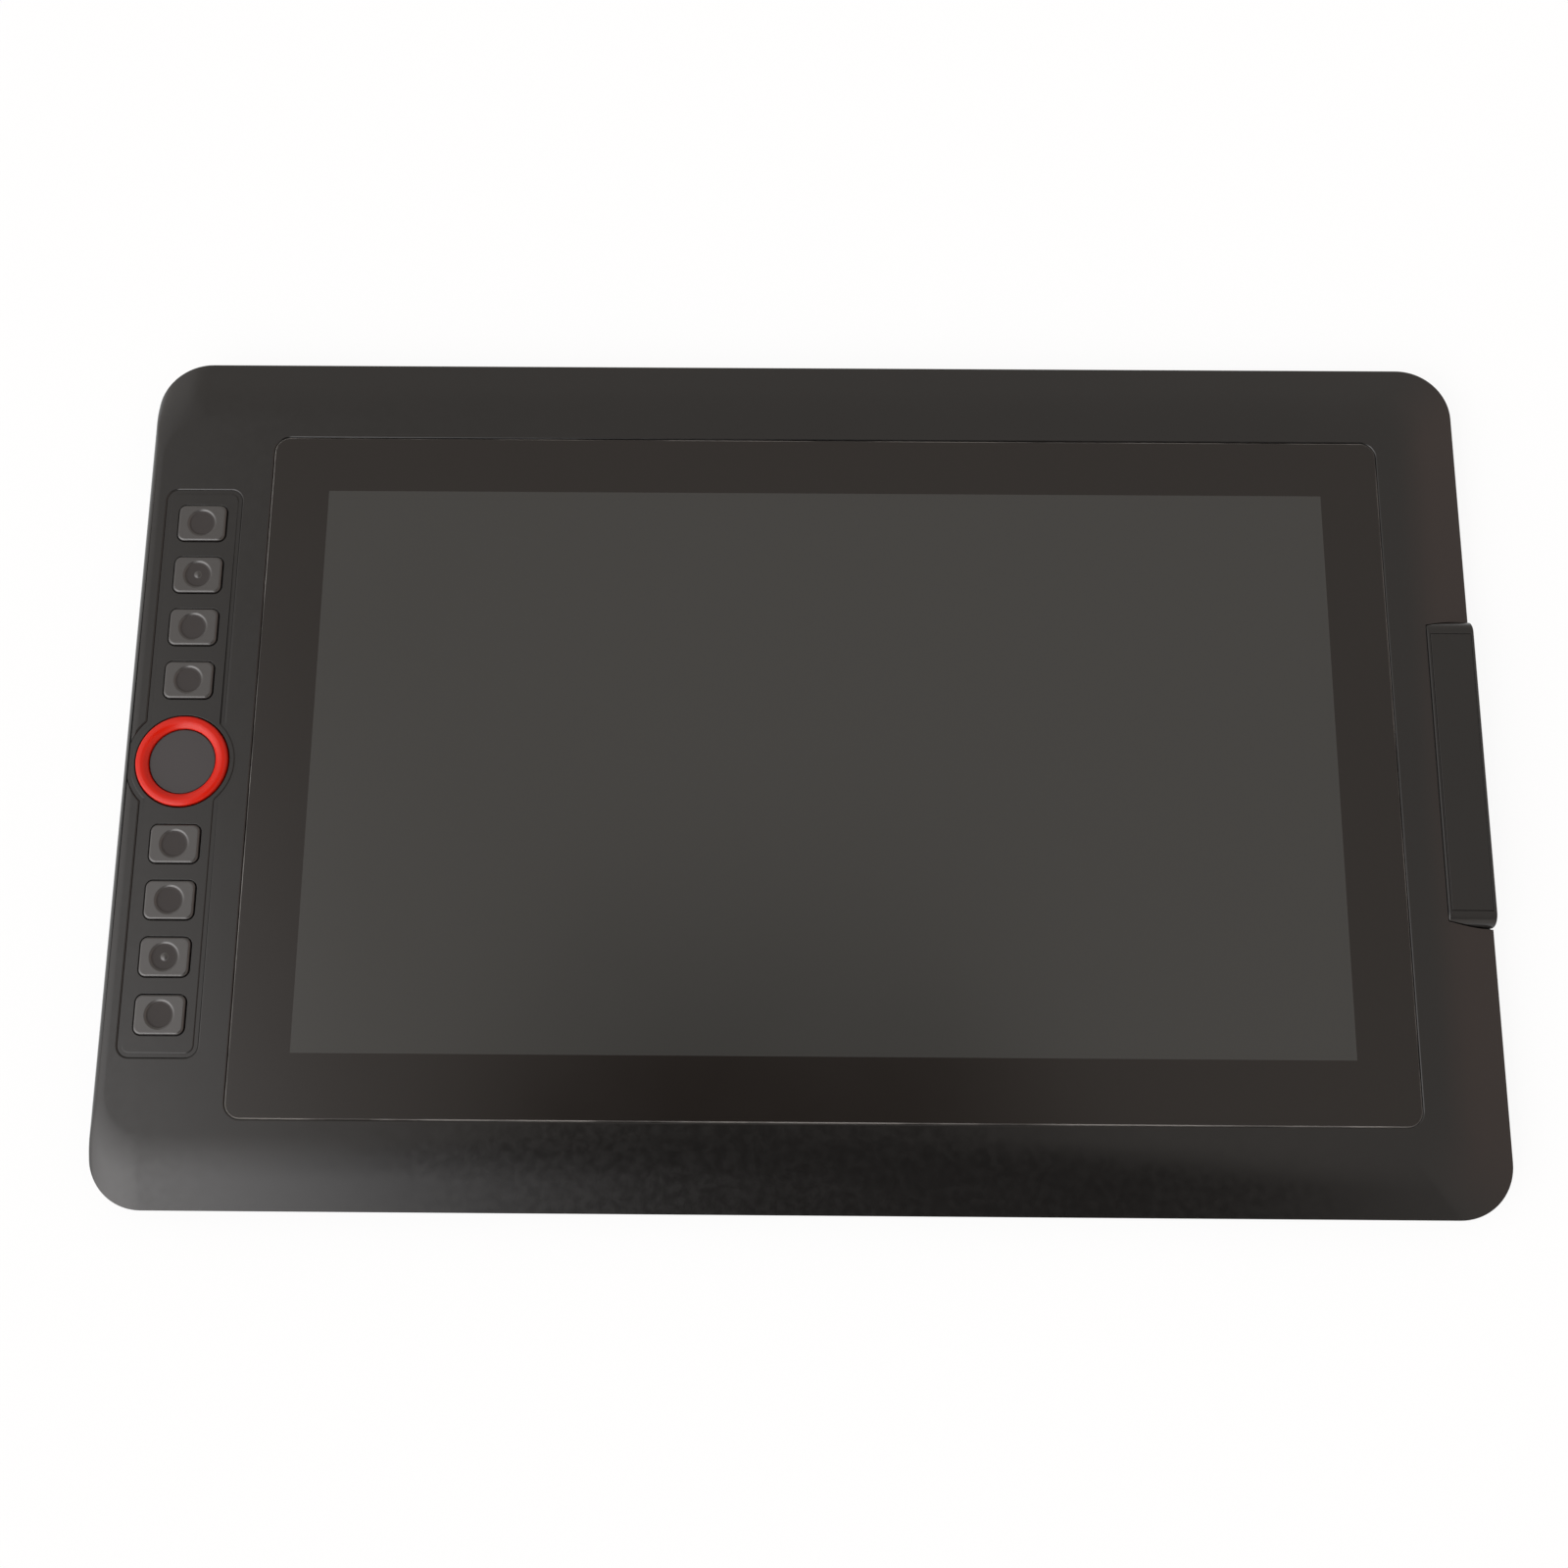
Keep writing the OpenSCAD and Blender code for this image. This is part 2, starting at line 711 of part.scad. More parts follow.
module front_bezel() {
    color([0.23, 0.22, 0.21])
        difference() {
            union() {
                difference() {
                    front_form(0, 0, split_z);
                    front_form(side_wall, front_wall, split_z - over);
                }
                intersection() {
                    front_form(side_wall / 3, front_wall / 3, 0);
                    bezel_inside();
                }
            }
            translate([screen_x, screen_y, 0]) {
                slab(opening_w, opening_d, opening_r, ledge_z, front_z);
                slab(bay_w, bay_d, opening_r, 0, front_z);
                glass_bevel();
            }
            translate([column_x, 0, panel_z])
                linear_extrude(front_z)
                    panel_outline(groove_half);
            translate([column_x, 0, split_z])
                linear_extrude(front_z)
                    panel_outline(-groove_half - panel_ledge);
            translate([column_x, 0, 0])
                bore(ring_r + ring_gap, 0, 2 * front_z);
            tab_form(tab_gap, split_z - lip_h - over, front_z + over);
            at_points(case_screws_at)
                bore(screw_r + thread_gap, boss_split - over, case_screw_top + tip_gap);
            at_points(plate_screws_at)
                bore(screw_r + thread_gap, plate_z, shield_z + plate_screw_reach + tip_gap);
        }
    color([0.23, 0.22, 0.21])
        for (y = stake_ys)
            translate([stake_x, y, 0])
                post(stake_r, tab_flange_z - stake_head, pad_z + front_wall / 2);
}

// What stands on the inside of the front frame
module bezel_inside() {
    at_points(case_screws_at)
        post(boss_r, boss_split, front_z);
    translate([screen_x, screen_y, 0])
        slab(bay_out_w, bay_out_d, opening_r + bay_wall, shield_z, front_z - shield_z);
    translate([column_x, 0, panel_z - panel_ledge_t])
        linear_extrude(front_z)
            panel_outline(groove_half + panel_rim);
    translate([tab_x - tab_flange_w - tab_gap, -tab_flange_half, pad_z])
        cube([tab_flange_w, 2 * tab_flange_half, front_z]);
    seam_lip();
}

// Locating lip that reaches down inside the rear cover
module seam_lip() {
    lip_in = side_wall + lip_gap;
    difference() {
        slab(body_w - 2 * lip_in, body_d - 2 * lip_in, corner_r - lip_in, split_z - lip_h, front_z);
        slab(body_w - 2 * (lip_in + lip_t), body_d - 2 * (lip_in + lip_t), corner_r - lip_in - lip_t,
            split_z - lip_h - over, 2 * front_z);
    }
}

// Shallow bevel that leads down to the glass
module glass_bevel() {
    hull()
        for (side = [-1, 2]) {
            grow = side * lip_bevel_w;
            z = front_z + (side - 1) * glass_sink;
            slab(opening_w + 2 * grow, opening_d + 2 * grow, opening_r + grow, z, level_t);
        }
}

// Screen, from the glass down to the support plate

module cover_glass() {
    color([0.2, 0.2, 0.19])
        translate([screen_x, screen_y, 0])
            slab(glass_w, glass_d, glass_r, glass_z, glass_t);
}

module glass_gasket() {
    color("black")
        difference() {
            translate([screen_x, screen_y, 0])
                slab(glass_w, glass_d, glass_r, ledge_z, gasket_t);
            translate([screen_x, screen_y, 0])
                slab(bay_w, bay_d, glass_r, ledge_z - over, gasket_t + 2 * over);
        }
}

module bonding_film() {
    color([0.8, 0.85, 0.9])
        sheet(lcd_w, lcd_d, bond_z, bond_t);
}

module lcd_panel() {
    color([0.12, 0.13, 0.14])
        sheet(lcd_w, lcd_d, lcd_z, lcd_t);
}

module diffuser_films() {
    color("white")
        sheet(lcd_w, lcd_d, film_z, film_t);
}

module light_guide() {
    color([0.85, 0.92, 0.95])
        translate([0, led_bar_d / 2, 0])
            sheet(lcd_w, lcd_d - led_bar_d, guide_z, guide_t);
}

module led_bar() {
    color("khaki")
        translate([screen_x - lcd_w / 2, screen_y - lcd_d / 2, guide_z])
            cube([lcd_w, led_bar_d, guide_t]);
}

module reflector_sheet() {
    color("whitesmoke")
        sheet(lcd_w, lcd_d, reflector_z, reflector_t);
}

module backlight_tray() {
    color("silver")
        difference() {
            sheet(tray_w, tray_d, tray_z, lcd_z - tray_z);
            sheet(tray_w - 2 * tray_t, tray_d - 2 * tray_t, reflector_z, lcd_z);
        }
}

module digitizer_board() {
    color("darkgreen")
        sheet(tray_w, tray_d, digitizer_z, digitizer_t);
}

module shield_sheet() {
    color("gray")
        sheet(tray_w, tray_d, shield_z, shield_t);
}

module support_plate() {
    color("lightgray")
        difference() {
            sheet(plate_w, plate_d, plate_z, plate_t);
            at_points(plate_screws_at)
                bore(screw_r + pass_gap, 0, front_z);
            for (x = [display_ribbon_x, digitizer_ribbon_x])
                translate([x - ribbon_w / 2 - over, display_drop_y - ribbon_clear, 0])
                    cube([ribbon_w + 2 * over, slot_d, front_z]);
        }
}

// Main board with its chips and sockets

module main_board() {
    color("darkgreen")
        difference() {
            translate([main_x - main_w / 2, main_y - main_d / 2, main_z])
                cube([main_w, main_d, board_t]);
            at_points(main_posts_at)
                bore(screw_r + pass_gap, 0, front_z);
        }
}

module main_board_chips() {
    color([0.1, 0.1, 0.1])
        for (c = chips)
            translate([main_x + c[0] - c[2] / 2, main_y + c[1] - c[3] / 2, main_top])
                cube([c[2], c[3], c[4]]);
}

module ribbon_connectors() {
    color("ivory") {
        for (x = [display_ribbon_x, digitizer_ribbon_x])
            connector([x, connector_y], [ribbon_w + connector_rim, connector_d]);
        connector([connector_x, key_ribbon_y], [connector_d, key_ribbon_w + connector_rim]);
        connector([port_connector_x, main_y], [connector_d, port_ribbon_w + connector_rim]);
    }
}

module connector(p, size) {
    translate([p[0] - size[0] / 2, p[1] - size[1] / 2, main_top])
        cube([size[0], size[1], connector_h]);
}

// A ribbon that comes down behind the tray and runs to its socket
module dropping_ribbon(x, top_z, start_y) {
    end_y = connector_y - connector_d / 2;
    translate([x - ribbon_w / 2, display_drop_y, ribbon_z])
        cube([ribbon_w, end_y - display_drop_y, ribbon_t]);
    translate([x - ribbon_w / 2, display_drop_y, ribbon_z])
        cube([ribbon_w, ribbon_t, top_z - ribbon_z]);
    translate([x - ribbon_w / 2, display_drop_y, top_z - ribbon_t])
        cube([ribbon_w, start_y - display_drop_y, ribbon_t]);
}

module display_ribbon() {
    color("darkorange")
        dropping_ribbon(display_ribbon_x, lcd_z + ribbon_t, screen_y - lcd_d / 2);
}

module digitizer_ribbon() {
    color("darkorange")
        dropping_ribbon(digitizer_ribbon_x, digitizer_z + ribbon_t, screen_y - tray_d / 2);
}

module key_ribbon() {
    drop_x = column_x + key_board_right + ribbon_clear;
    start_x = drop_x - ribbon_clear - ribbon_tuck;
    color("darkorange")
        translate([0, key_ribbon_y - key_ribbon_w / 2, 0]) {
            translate([start_x, 0, key_board_z - ribbon_t])
                cube([drop_x + ribbon_t - start_x, key_ribbon_w, ribbon_t]);
            translate([drop_x, 0, ribbon_z])
                cube([ribbon_t, key_ribbon_w, key_board_z - ribbon_z]);
            translate([drop_x, 0, ribbon_z])
                cube([connector_x - connector_d / 2 - drop_x, key_ribbon_w, ribbon_t]);
        }
}

module port_ribbon() {
    end_x = port_connector_x + connector_d / 2;
    color("darkorange") {
        translate([end_x, main_y - port_ribbon_w / 2, ribbon_z])
            cube([port_drop_x - end_x + ribbon_t, port_ribbon_w, ribbon_t]);
        translate([port_drop_x, main_y - port_ribbon_w / 2, ribbon_z])
            cube([ribbon_t, port_ribbon_w, port_board_z - ribbon_z]);
        translate([port_drop_x, main_y - port_ribbon_w / 2, port_board_z - ribbon_t])
            cube([port_board_x + ribbon_tuck - port_drop_x, port_ribbon_w, ribbon_t]);
    }
}

// Key column

module key_panel() {
    color([0.25, 0.24, 0.23])
        translate([column_x, 0, 0])
            difference() {
                union() {
                    translate([0, 0, panel_z])
                        linear_extrude(panel_flange_t)
                            panel_outline(groove_half - panel_gap);
                    translate([0, 0, panel_z])
                        linear_extrude(front_z - panel_z)
                            panel_outline(-groove_half);
                }
                for (y = key_ys)
                    translate([0, y, 0])
                        slab(key_w + 2 * key_gap, key_d + 2 * key_gap, key_r + key_gap, 0, 2 * front_z);
                bore(ring_r + ring_gap, 0, 2 * front_z);
            }
}

module key(i) {
    top = front_z + key_proud;
    dish_r = (dish_d * dish_d / 4 + dish_depth * dish_depth) / (2 * dish_depth);
    color([0.31, 0.3, 0.29])
        translate([column_x, key_ys[i], 0]) {
            difference() {
                union() {
                    hull() {
                        slab(key_w, key_d, key_r, key_flange_z, top - key_soft - key_flange_z, $fn = 32);
                        slab(key_w - 2 * key_soft, key_d - 2 * key_soft, key_r, key_flange_z,
                            top - key_flange_z, $fn = 32);
                    }
                    slab(key_w + 2 * key_flange_w, key_d + 2 * key_flange_w, key_r, key_flange_z,
                        key_flange_t);
                    post(pusher_r, pusher_z, key_flange_top);
                }
                translate([0, 0, top - dish_depth + dish_r])
                    sphere(dish_r, $fn = 96);
            }
            for (k = dot_keys)
                if (k == i)
                    translate([0, 0, top - dish_depth])
                        sphere(dot_r);
        }
}

module switch_plunger(i) {
    color("white")
        translate([column_x, key_ys[i], 0])
            post(plunger_r, switch_top - plunger_in, pusher_z);
}

module switch_bodies() {
    color([0.15, 0.15, 0.15])
        for (y = key_ys)
            translate([column_x, y, 0])
                difference() {
                    translate([-switch_w / 2, -switch_w / 2, key_board_top])
                        cube([switch_w, switch_w, switch_h]);
                    bore(plunger_r + plunger_gap, dome_z, switch_top + over);
                }
}

module contact_domes() {
    color("gold")
        for (y = key_ys)
            translate([column_x, y, 0])
                post(plunger_r, dome_z, dome_z + dome_t);
}

module key_board() {
    color("darkgreen")
        difference() {
            translate([column_x - key_board_left, -key_board_half, key_board_z])
                cube([key_board_left + key_board_right, 2 * key_board_half, board_t]);
            at_points(key_posts_at)
                bore(screw_r + pass_gap, 0, front_z);
            hub_pegs()
                bore(stake_r + peg_gap, 0, front_z);
        }
}

// Dial

module hub_pegs() {
    for (s = both)
        translate([column_x, s * (post_r - peg_inset), 0])
            children();
}

module dial_hub() {
    color("gray") {
        translate([column_x, 0, 0])
            difference() {
                union() {
                    post(hub_foot_r, key_board_top, hub_foot_top);
                    post(post_r, key_board_top, hub_top);
                }
                bore(stem_r + peg_gap, hub_top - stem_l - 2 * tip_gap, hub_top + over);
            }
        hub_pegs()
            post(stake_r, key_board_z, hub_foot_top);
    }
}

module dial_cap() {
    color([0.32, 0.3, 0.31])
        translate([column_x, 0, 0]) {
            post(cap_r, hub_top, cap_top);
            post(stem_r, hub_top - stem_l, cap_top);
        }
}

module dial_rotor() {
    step = 360 / code_count;
    window_w = 1.2;
    window_h = 0.7;
    color("dimgray")
        translate([column_x, 0, 0])
            difference() {
                union() {
                    tube(sleeve_out_r, sleeve_r, hub_foot_top + float_gap, hub_top - float_gap);
                    tube(web_r, sleeve_r, web_z, web_top);
                    tube(skirt_r, skirt_in_r, skirt_z, web_top);
                }
                for (i = [0:code_count - 1])
                    rotate((i + 0.5) * step)
                        translate([skirt_in_r - over, -window_w / 2, skirt_z - over])
                            cube([skirt_t + 2 * over, window_w, window_h + over]);
            }
}

module dial_ring() {
    out_x = ring_r - ring_soft;
    in_x = ring_in_r + ring_soft;
    in_drop = 0.3;
    in_top = ring_top - in_drop;
    color([0.8, 0.2, 0.15])
        translate([column_x, 0, 0])
            rotate_extrude() {
                polygon([[ring_in_r, web_top], [ring_r, web_top], [ring_r, ring_top - ring_soft],
                    [out_x, ring_top], [in_x, in_top], [ring_in_r, in_top - ring_soft]]);
                translate([out_x, ring_top - ring_soft])
                    circle(ring_soft);
                translate([in_x, in_top - ring_soft])
                    circle(ring_soft);
            }
}

module encoder_sensor() {
    jaw = 1.05;
    sensor_w = 3.2;
    inner = skirt_in_r - sensor_gap;
    outer = skirt_r + sensor_gap;
    color([0.12, 0.12, 0.12])
        translate([column_x, 0, 0])
            difference() {
                translate([inner - jaw, -sensor_w / 2, key_board_top])
                    cube([outer - inner + 2 * jaw, sensor_w, web_lift - sensor_gap]);
                tube(outer, inner, skirt_z - sensor_gap, front_z);
            }
}

module detent_spring() {
    blade_w = 4;
    blade_t = 0.3;
    foot_l = 4;
    color("silver")
        translate([column_x - blade_w / 2, skirt_r + float_gap, key_board_top]) {
            cube([blade_w, foot_l, blade_t]);
            cube([blade_w, blade_t, web_lift - sensor_gap]);
        }
}

// Port tab on the right edge

// The tab's solid form with its sloping ends, from z0 up to z1
module tab_form(gap, z0, z1) {
    rise = z1 - rim_z;
    translate([tab_x - gap, 0, 0])
        rotate([90, 0, 90])
            linear_extrude(tab_w + gap + (gap > 0 ? over : 0))
                polygon([[-tab_foot_half - gap, z0], [tab_foot_half + gap, z0], [tab_foot_half + gap, rim_z],
                    [tab_foot_half + gap - rise, z1], [-tab_foot_half - gap + rise, z1],
                    [-tab_foot_half - gap, rim_z]]);
}

module tab_hollow() {
    slope = tab_ceiling - rim_z;
    half = tab_foot_half - 1.5 * tab_wall;
    translate([tab_x + tab_wall, 0, 0])
        rotate([90, 0, 90])
            linear_extrude(tab_w - 2 * tab_wall)
                polygon([[-half, split_z - over], [half, split_z - over], [half, rim_z],
                    [half - slope, tab_ceiling], [slope - half, tab_ceiling], [-half, rim_z]]);
}

module facing_right(y, z, x0, x1) {
    translate([x0, y, z])
        rotate([90, 0, 90])
            linear_extrude(x1 - x0)
                children();
}

module port_housing() {
    color([0.22, 0.2, 0.19])
        difference() {
            union() {
                tab_form(0, split_z, front_z);
                translate([tab_x - tab_flange_w, -tab_flange_half, tab_flange_z])
                    cube([tab_flange_w + thin, 2 * tab_flange_half, tab_flange_t]);
            }
            tab_hollow();
            translate([tab_x - over, -port_board_half - over, split_z - over])
                cube([tab_wall + 2 * over, 2 * (port_board_half + over), tab_flange_z - split_z + over]);
            for (y = stake_ys)
                translate([stake_x, y, 0])
                    bore(stake_r + peg_gap, split_z, front_z);
            facing_right(usb_y, usb_z, tab_in_x - over, tab_out_x + over)
                pill(usb_w + 2 * usb_gap, usb_h + 2 * usb_gap);
            facing_right(power_y, power_z, tab_in_x - over, tab_out_x + over)
                pill(power_l + 2 * power_gap, power_h + 2 * power_gap);
            facing_right(lamp_y, power_z, tab_in_x - over, tab_out_x + over)
                circle(lens_r + peg_gap);
        }
}

module port_board() {
    color("darkgreen")
        difference() {
            translate([port_board_x, -port_board_half, port_board_z])
                cube([port_board_end - port_board_x, 2 * port_board_half, board_t]);
            at_points(port_posts_at)
                bore(screw_r + pass_gap, 0, front_z);
        }
}

module usb_shell() {
    color("silver")
        difference() {
            facing_right(usb_y, usb_z, usb_face_x - usb_l, usb_face_x)
                pill(usb_w, usb_h);
            facing_right(usb_y, usb_z, usb_face_x - usb_l + usb_back, usb_face_x + over)
                pill(usb_w - 2 * usb_wall, usb_h - 2 * usb_wall);
        }
}

module usb_tongue() {
    color("black")
        translate([usb_face_x - usb_l + usb_back, usb_y - tongue_w / 2, usb_z - tongue_t / 2])
            cube([usb_l - 2 * usb_back, tongue_w, tongue_t]);
}

module power_switch() {
    color([0.15, 0.15, 0.15])
        difference() {
            translate([power_switch_x, power_y - switch_w / 2, port_board_top])
                cube([power_switch_l, switch_w, power_switch_h]);
            facing_right(power_y, power_z, power_switch_x + power_switch_back, power_flange_x)
                circle(power_plunger_r + plunger_gap);
        }
}

module power_plunger() {
    color("white")
        facing_right(power_y, power_z, power_switch_x + power_switch_l - power_plunger_in, power_flange_x)
            circle(power_plunger_r);
}

module power_button() {
    color([0.28, 0.27, 0.26]) {
        facing_right(power_y, power_z, power_flange_x, power_face_x)
            pill(power_l, power_h);
        facing_right(power_y, power_z, power_flange_x, power_flange_x + power_flange_t)
            pill(power_l + 2 * power_flange_w, power_h + 2 * power_flange_up);
    }
}

module indicator_lens() {
    color("white")
        facing_right(lamp_y, power_z, tab_in_x - lens_in, tab_out_x - lens_sink)
            circle(lens_r);
}

module indicator_led() {
    led_w = 2.4;
    led_l = 1.9;
    color("ivory")
        translate([tab_in_x - lens_in - lens_sink - led_l, lamp_y - led_w / 2, port_board_top])
            cube([led_l, led_w, power_z + lens_r - port_board_top]);
}

rear_cover();
rubber_feet();
case_screws();
inner_screws();
main_board();
main_board_chips();
ribbon_connectors();
support_plate();
shield_sheet();
digitizer_board();
backlight_tray();
reflector_sheet();
light_guide();
led_bar();
diffuser_films();
lcd_panel();
bonding_film();
glass_gasket();
cover_glass();
front_bezel();
key_panel();
key_board();
switch_bodies();
contact_domes();
key(0);  // key_1
key(1);  // key_2
key(2);  // key_3
key(3);  // key_4
key(4);  // key_5
key(5);  // key_6
key(6);  // key_7
key(7);  // key_8
switch_plunger(0);  // switch_plunger_1
switch_plunger(1);  // switch_plunger_2
switch_plunger(2);  // switch_plunger_3
switch_plunger(3);  // switch_plunger_4
switch_plunger(4);  // switch_plunger_5
switch_plunger(5);  // switch_plunger_6
switch_plunger(6);  // switch_plunger_7
switch_plunger(7);  // switch_plunger_8
dial_hub();
dial_rotor();
dial_ring();
dial_cap();
detent_spring();
encoder_sensor();
port_housing();
port_board();
usb_shell();
usb_tongue();
power_switch();
power_plunger();
power_button();
indicator_led();
indicator_lens();
display_ribbon();
digitizer_ribbon();
key_ribbon();
port_ribbon();
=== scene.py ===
import math

import bmesh
import bpy
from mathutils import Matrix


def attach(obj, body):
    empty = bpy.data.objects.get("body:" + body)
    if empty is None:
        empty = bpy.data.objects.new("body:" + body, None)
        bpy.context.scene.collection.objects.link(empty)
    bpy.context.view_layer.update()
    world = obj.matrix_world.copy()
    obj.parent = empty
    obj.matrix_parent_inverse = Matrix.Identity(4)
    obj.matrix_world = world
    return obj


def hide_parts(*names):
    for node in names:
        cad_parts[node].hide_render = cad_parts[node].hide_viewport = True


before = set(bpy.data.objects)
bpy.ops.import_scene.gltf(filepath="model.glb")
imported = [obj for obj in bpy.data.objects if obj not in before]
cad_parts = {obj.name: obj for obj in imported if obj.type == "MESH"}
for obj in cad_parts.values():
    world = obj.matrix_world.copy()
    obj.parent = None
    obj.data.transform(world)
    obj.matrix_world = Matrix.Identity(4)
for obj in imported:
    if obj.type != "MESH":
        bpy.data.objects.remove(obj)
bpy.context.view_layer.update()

# Rear cover
# The tray that everything lies in: one moulding of black plastic with a rounded edge. Ten screws
# come up through it into the front frame, and four feet are glued into shallow places.
MM = 0.001
body_w = 390
body_d = 250
body_r = 15.5
seam_z = 7.2
cover_z = 1.2
cover_floor = 1.8
cover_round_w = 9
cover_round_h = 3.8
shell_wall = 2
seam_bevel = 0.25
head_r = 2.1
shank_r = 1.2
head_seat_z = 2.8
shank_hole = 3
foot_recess = (23.2, 4.7)
foot_recess_r = 4.69
foot_recess_z = (0.2, 1.8)
cover_flat = (186.5, 116.5)
mouth_round = 0.25
screw_places = [(x, y) for x in (-120, 0, 120) for y in (-115.7, 115.7)]
screw_places += [(-185.7, -97.4), (-185.7, 97.4), (185.7, -70), (185.7, 70)]
foot_places = [(x, y) for x in (-147, 147) for y in (-99, 99)]


def body_outline(left, rest, radius, z):
    return (left - body_w / 2, body_w / 2 - rest, rest - body_d / 2, body_d / 2 - rest, radius, z)


def edit(piece):
    bpy.ops.object.select_all(action="DESELECT")
    piece.select_set(True)
    bpy.context.view_layer.objects.active = piece
    bpy.ops.object.mode_set(mode="EDIT")


def choose(piece, test, kind="edges"):
    bpy.ops.mesh.select_mode(type={"verts": "VERT", "edges": "EDGE", "faces": "FACE"}[kind])
    bpy.ops.mesh.select_all(action="DESELECT")
    mesh = bmesh.from_edit_mesh(piece.data)
    mesh.verts.index_update()
    for part in [part for part in getattr(mesh, kind) if test(part)]:
        part.select_set(True)
    mesh.select_flush_mode()
    bmesh.update_edit_mesh(piece.data)


def close_up(piece):
    bpy.ops.mesh.select_all(action="SELECT")
    bpy.ops.mesh.remove_doubles(threshold=0.000002)
    bpy.ops.mesh.normals_make_consistent(inside=False)
    bpy.ops.object.mode_set(mode="OBJECT")
    return piece


def loft(name, outlines, steps=10, ring_closed=False):
    x0, x1, y0, y1, radius, z = outlines[0]
    bpy.ops.object.select_all(action="DESELECT")
    bpy.ops.mesh.primitive_plane_add(size=1, enter_editmode=True)
    piece = bpy.context.object
    piece.name = piece.data.name = name
    bpy.ops.transform.resize(value=((x1 - x0) * MM, (y1 - y0) * MM, 1), center_override=(0, 0, 0))
    bpy.ops.transform.translate(value=((x0 + x1) / 2 * MM, (y0 + y1) / 2 * MM, z * MM))
    bpy.ops.mesh.bevel(offset=radius * MM, segments=steps, affect="VERTICES")
    bpy.ops.mesh.select_all(action="SELECT")
    bpy.ops.mesh.delete(type="ONLY_FACE")
    bpy.ops.mesh.select_mode(type="VERT")
    bpy.ops.mesh.select_all(action="SELECT")
    for old, new in zip(outlines, outlines[1:] + outlines[:1] * ring_closed):
        bpy.ops.mesh.extrude_edges_move()
        mesh = bmesh.from_edit_mesh(piece.data)
        mesh.verts.index_update()
        level = {v.index for v in mesh.verts if v.select}
        middle = ((old[0] + old[1]) / 2 * MM, (old[2] + old[3]) / 2 * MM)
        for right, far in ((0, 0), (1, 0), (0, 1), (1, 1)):
            choose(piece, lambda v: v.index in level and (v.co.x > middle[0]) == right
                   and (v.co.y > middle[1]) == far, "verts")
            was, now = [(o[right] + (1 - 2 * right) * o[4], o[2 + far] + (1 - 2 * far) * o[4], o[5])
                        for o in (old, new)]
            growth = new[4] / old[4]
            bpy.ops.transform.resize(value=(growth, growth, 1), center_override=[c * MM for c in was])
            bpy.ops.transform.translate(value=[(b - a) * MM for a, b in zip(was, now)])
        choose(piece, lambda v: v.index in level, "verts")
    for end in () if ring_closed else (outlines[0][5], outlines[-1][5]):
        choose(piece, lambda e: e.is_boundary and all(abs(v.co.z - end * MM) < 1e-7 for v in e.verts))
        bpy.ops.mesh.edge_face_add()
    return close_up(piece)


def carve(piece, tool, how="DIFFERENCE"):
    bpy.ops.object.select_all(action="DESELECT")
    bpy.context.view_layer.objects.active = piece
    cut = piece.modifiers.new("cut", "BOOLEAN")
    cut.object = tool
    cut.operation = how
    cut.solver = "EXACT"
    bpy.ops.object.modifier_apply(modifier=cut.name)
    bpy.data.objects.remove(tool)
    return piece


def soften(piece, test, width, rounds):
    edit(piece)
    choose(piece, test)
    bpy.ops.mesh.bevel(offset=width * MM, segments=rounds, affect="EDGES", clamp_overlap=False)
    bpy.ops.object.mode_set(mode="OBJECT")


def smooth(piece, angle=32):
    bpy.ops.object.select_all(action="DESELECT")
    piece.select_set(True)
    bpy.context.view_layer.objects.active = piece
    bpy.ops.object.shade_smooth_by_angle(angle=math.radians(angle), keep_sharp_edges=True)
    weigh = piece.modifiers.new("weigh", "WEIGHTED_NORMAL")
    weigh.keep_sharp = True
    bpy.ops.object.modifier_apply(modifier=weigh.name)


def join(name, pieces):
    bpy.ops.object.select_all(action="DESELECT")
    for piece in pieces:
        piece.select_set(True)
    bpy.context.view_layer.objects.active = pieces[0]
    bpy.ops.object.join()
    pieces[0].name = pieces[0].data.name = name
    return pieces[0]


def cover_outline(turn, inward, lift):
    side = inward + cover_round_w * (1 - math.sin(turn))
    rise = cover_round_h * (1 - math.cos(turn))
    return body_outline(side, side, body_r - (inward + side) / 2, cover_z + lift + rise)


cover_turns = [math.radians(90 * i / 9) for i in range(10)]
cover_outlines = [cover_outline(t, 0, 0) for t in cover_turns]
cover_outlines += [body_outline(0, 0, body_r, seam_z - seam_bevel)]
cover_outlines += [body_outline(seam_bevel, seam_bevel, body_r - seam_bevel, seam_z)]
cover_outlines += [body_outline(shell_wall, shell_wall, body_r - shell_wall, seam_z)]
cover_outlines += [cover_outline(t, shell_wall, cover_floor) for t in reversed(cover_turns)]
back_shell = loft("back_shell", cover_outlines)

recesses = []
for x, y in screw_places:
    bpy.ops.object.select_all(action="DESELECT")
    bpy.ops.mesh.primitive_cylinder_add(vertices=40, radius=head_r * MM, depth=head_seat_z * MM,
                                        enter_editmode=True)
    recess = bpy.context.object
    bpy.ops.transform.translate(value=(x * MM, y * MM, head_seat_z / 2 * MM))
    choose(recess, lambda f: f.normal.z > 0.9, "faces")
    bpy.ops.mesh.inset(thickness=(head_r - shank_r) * MM)
    bpy.ops.mesh.extrude_region_move(TRANSFORM_OT_translate={"value": (0, 0, shank_hole * MM)})
    recesses.append(close_up(recess))
for x, y in foot_places:
    recesses.append(loft("recess", [(x - foot_recess[0], x + foot_recess[0],
                                     y - foot_recess[1], y + foot_recess[1], foot_recess_r, z)
                                    for z in foot_recess_z]))
carve(back_shell, join("recesses", recesses))


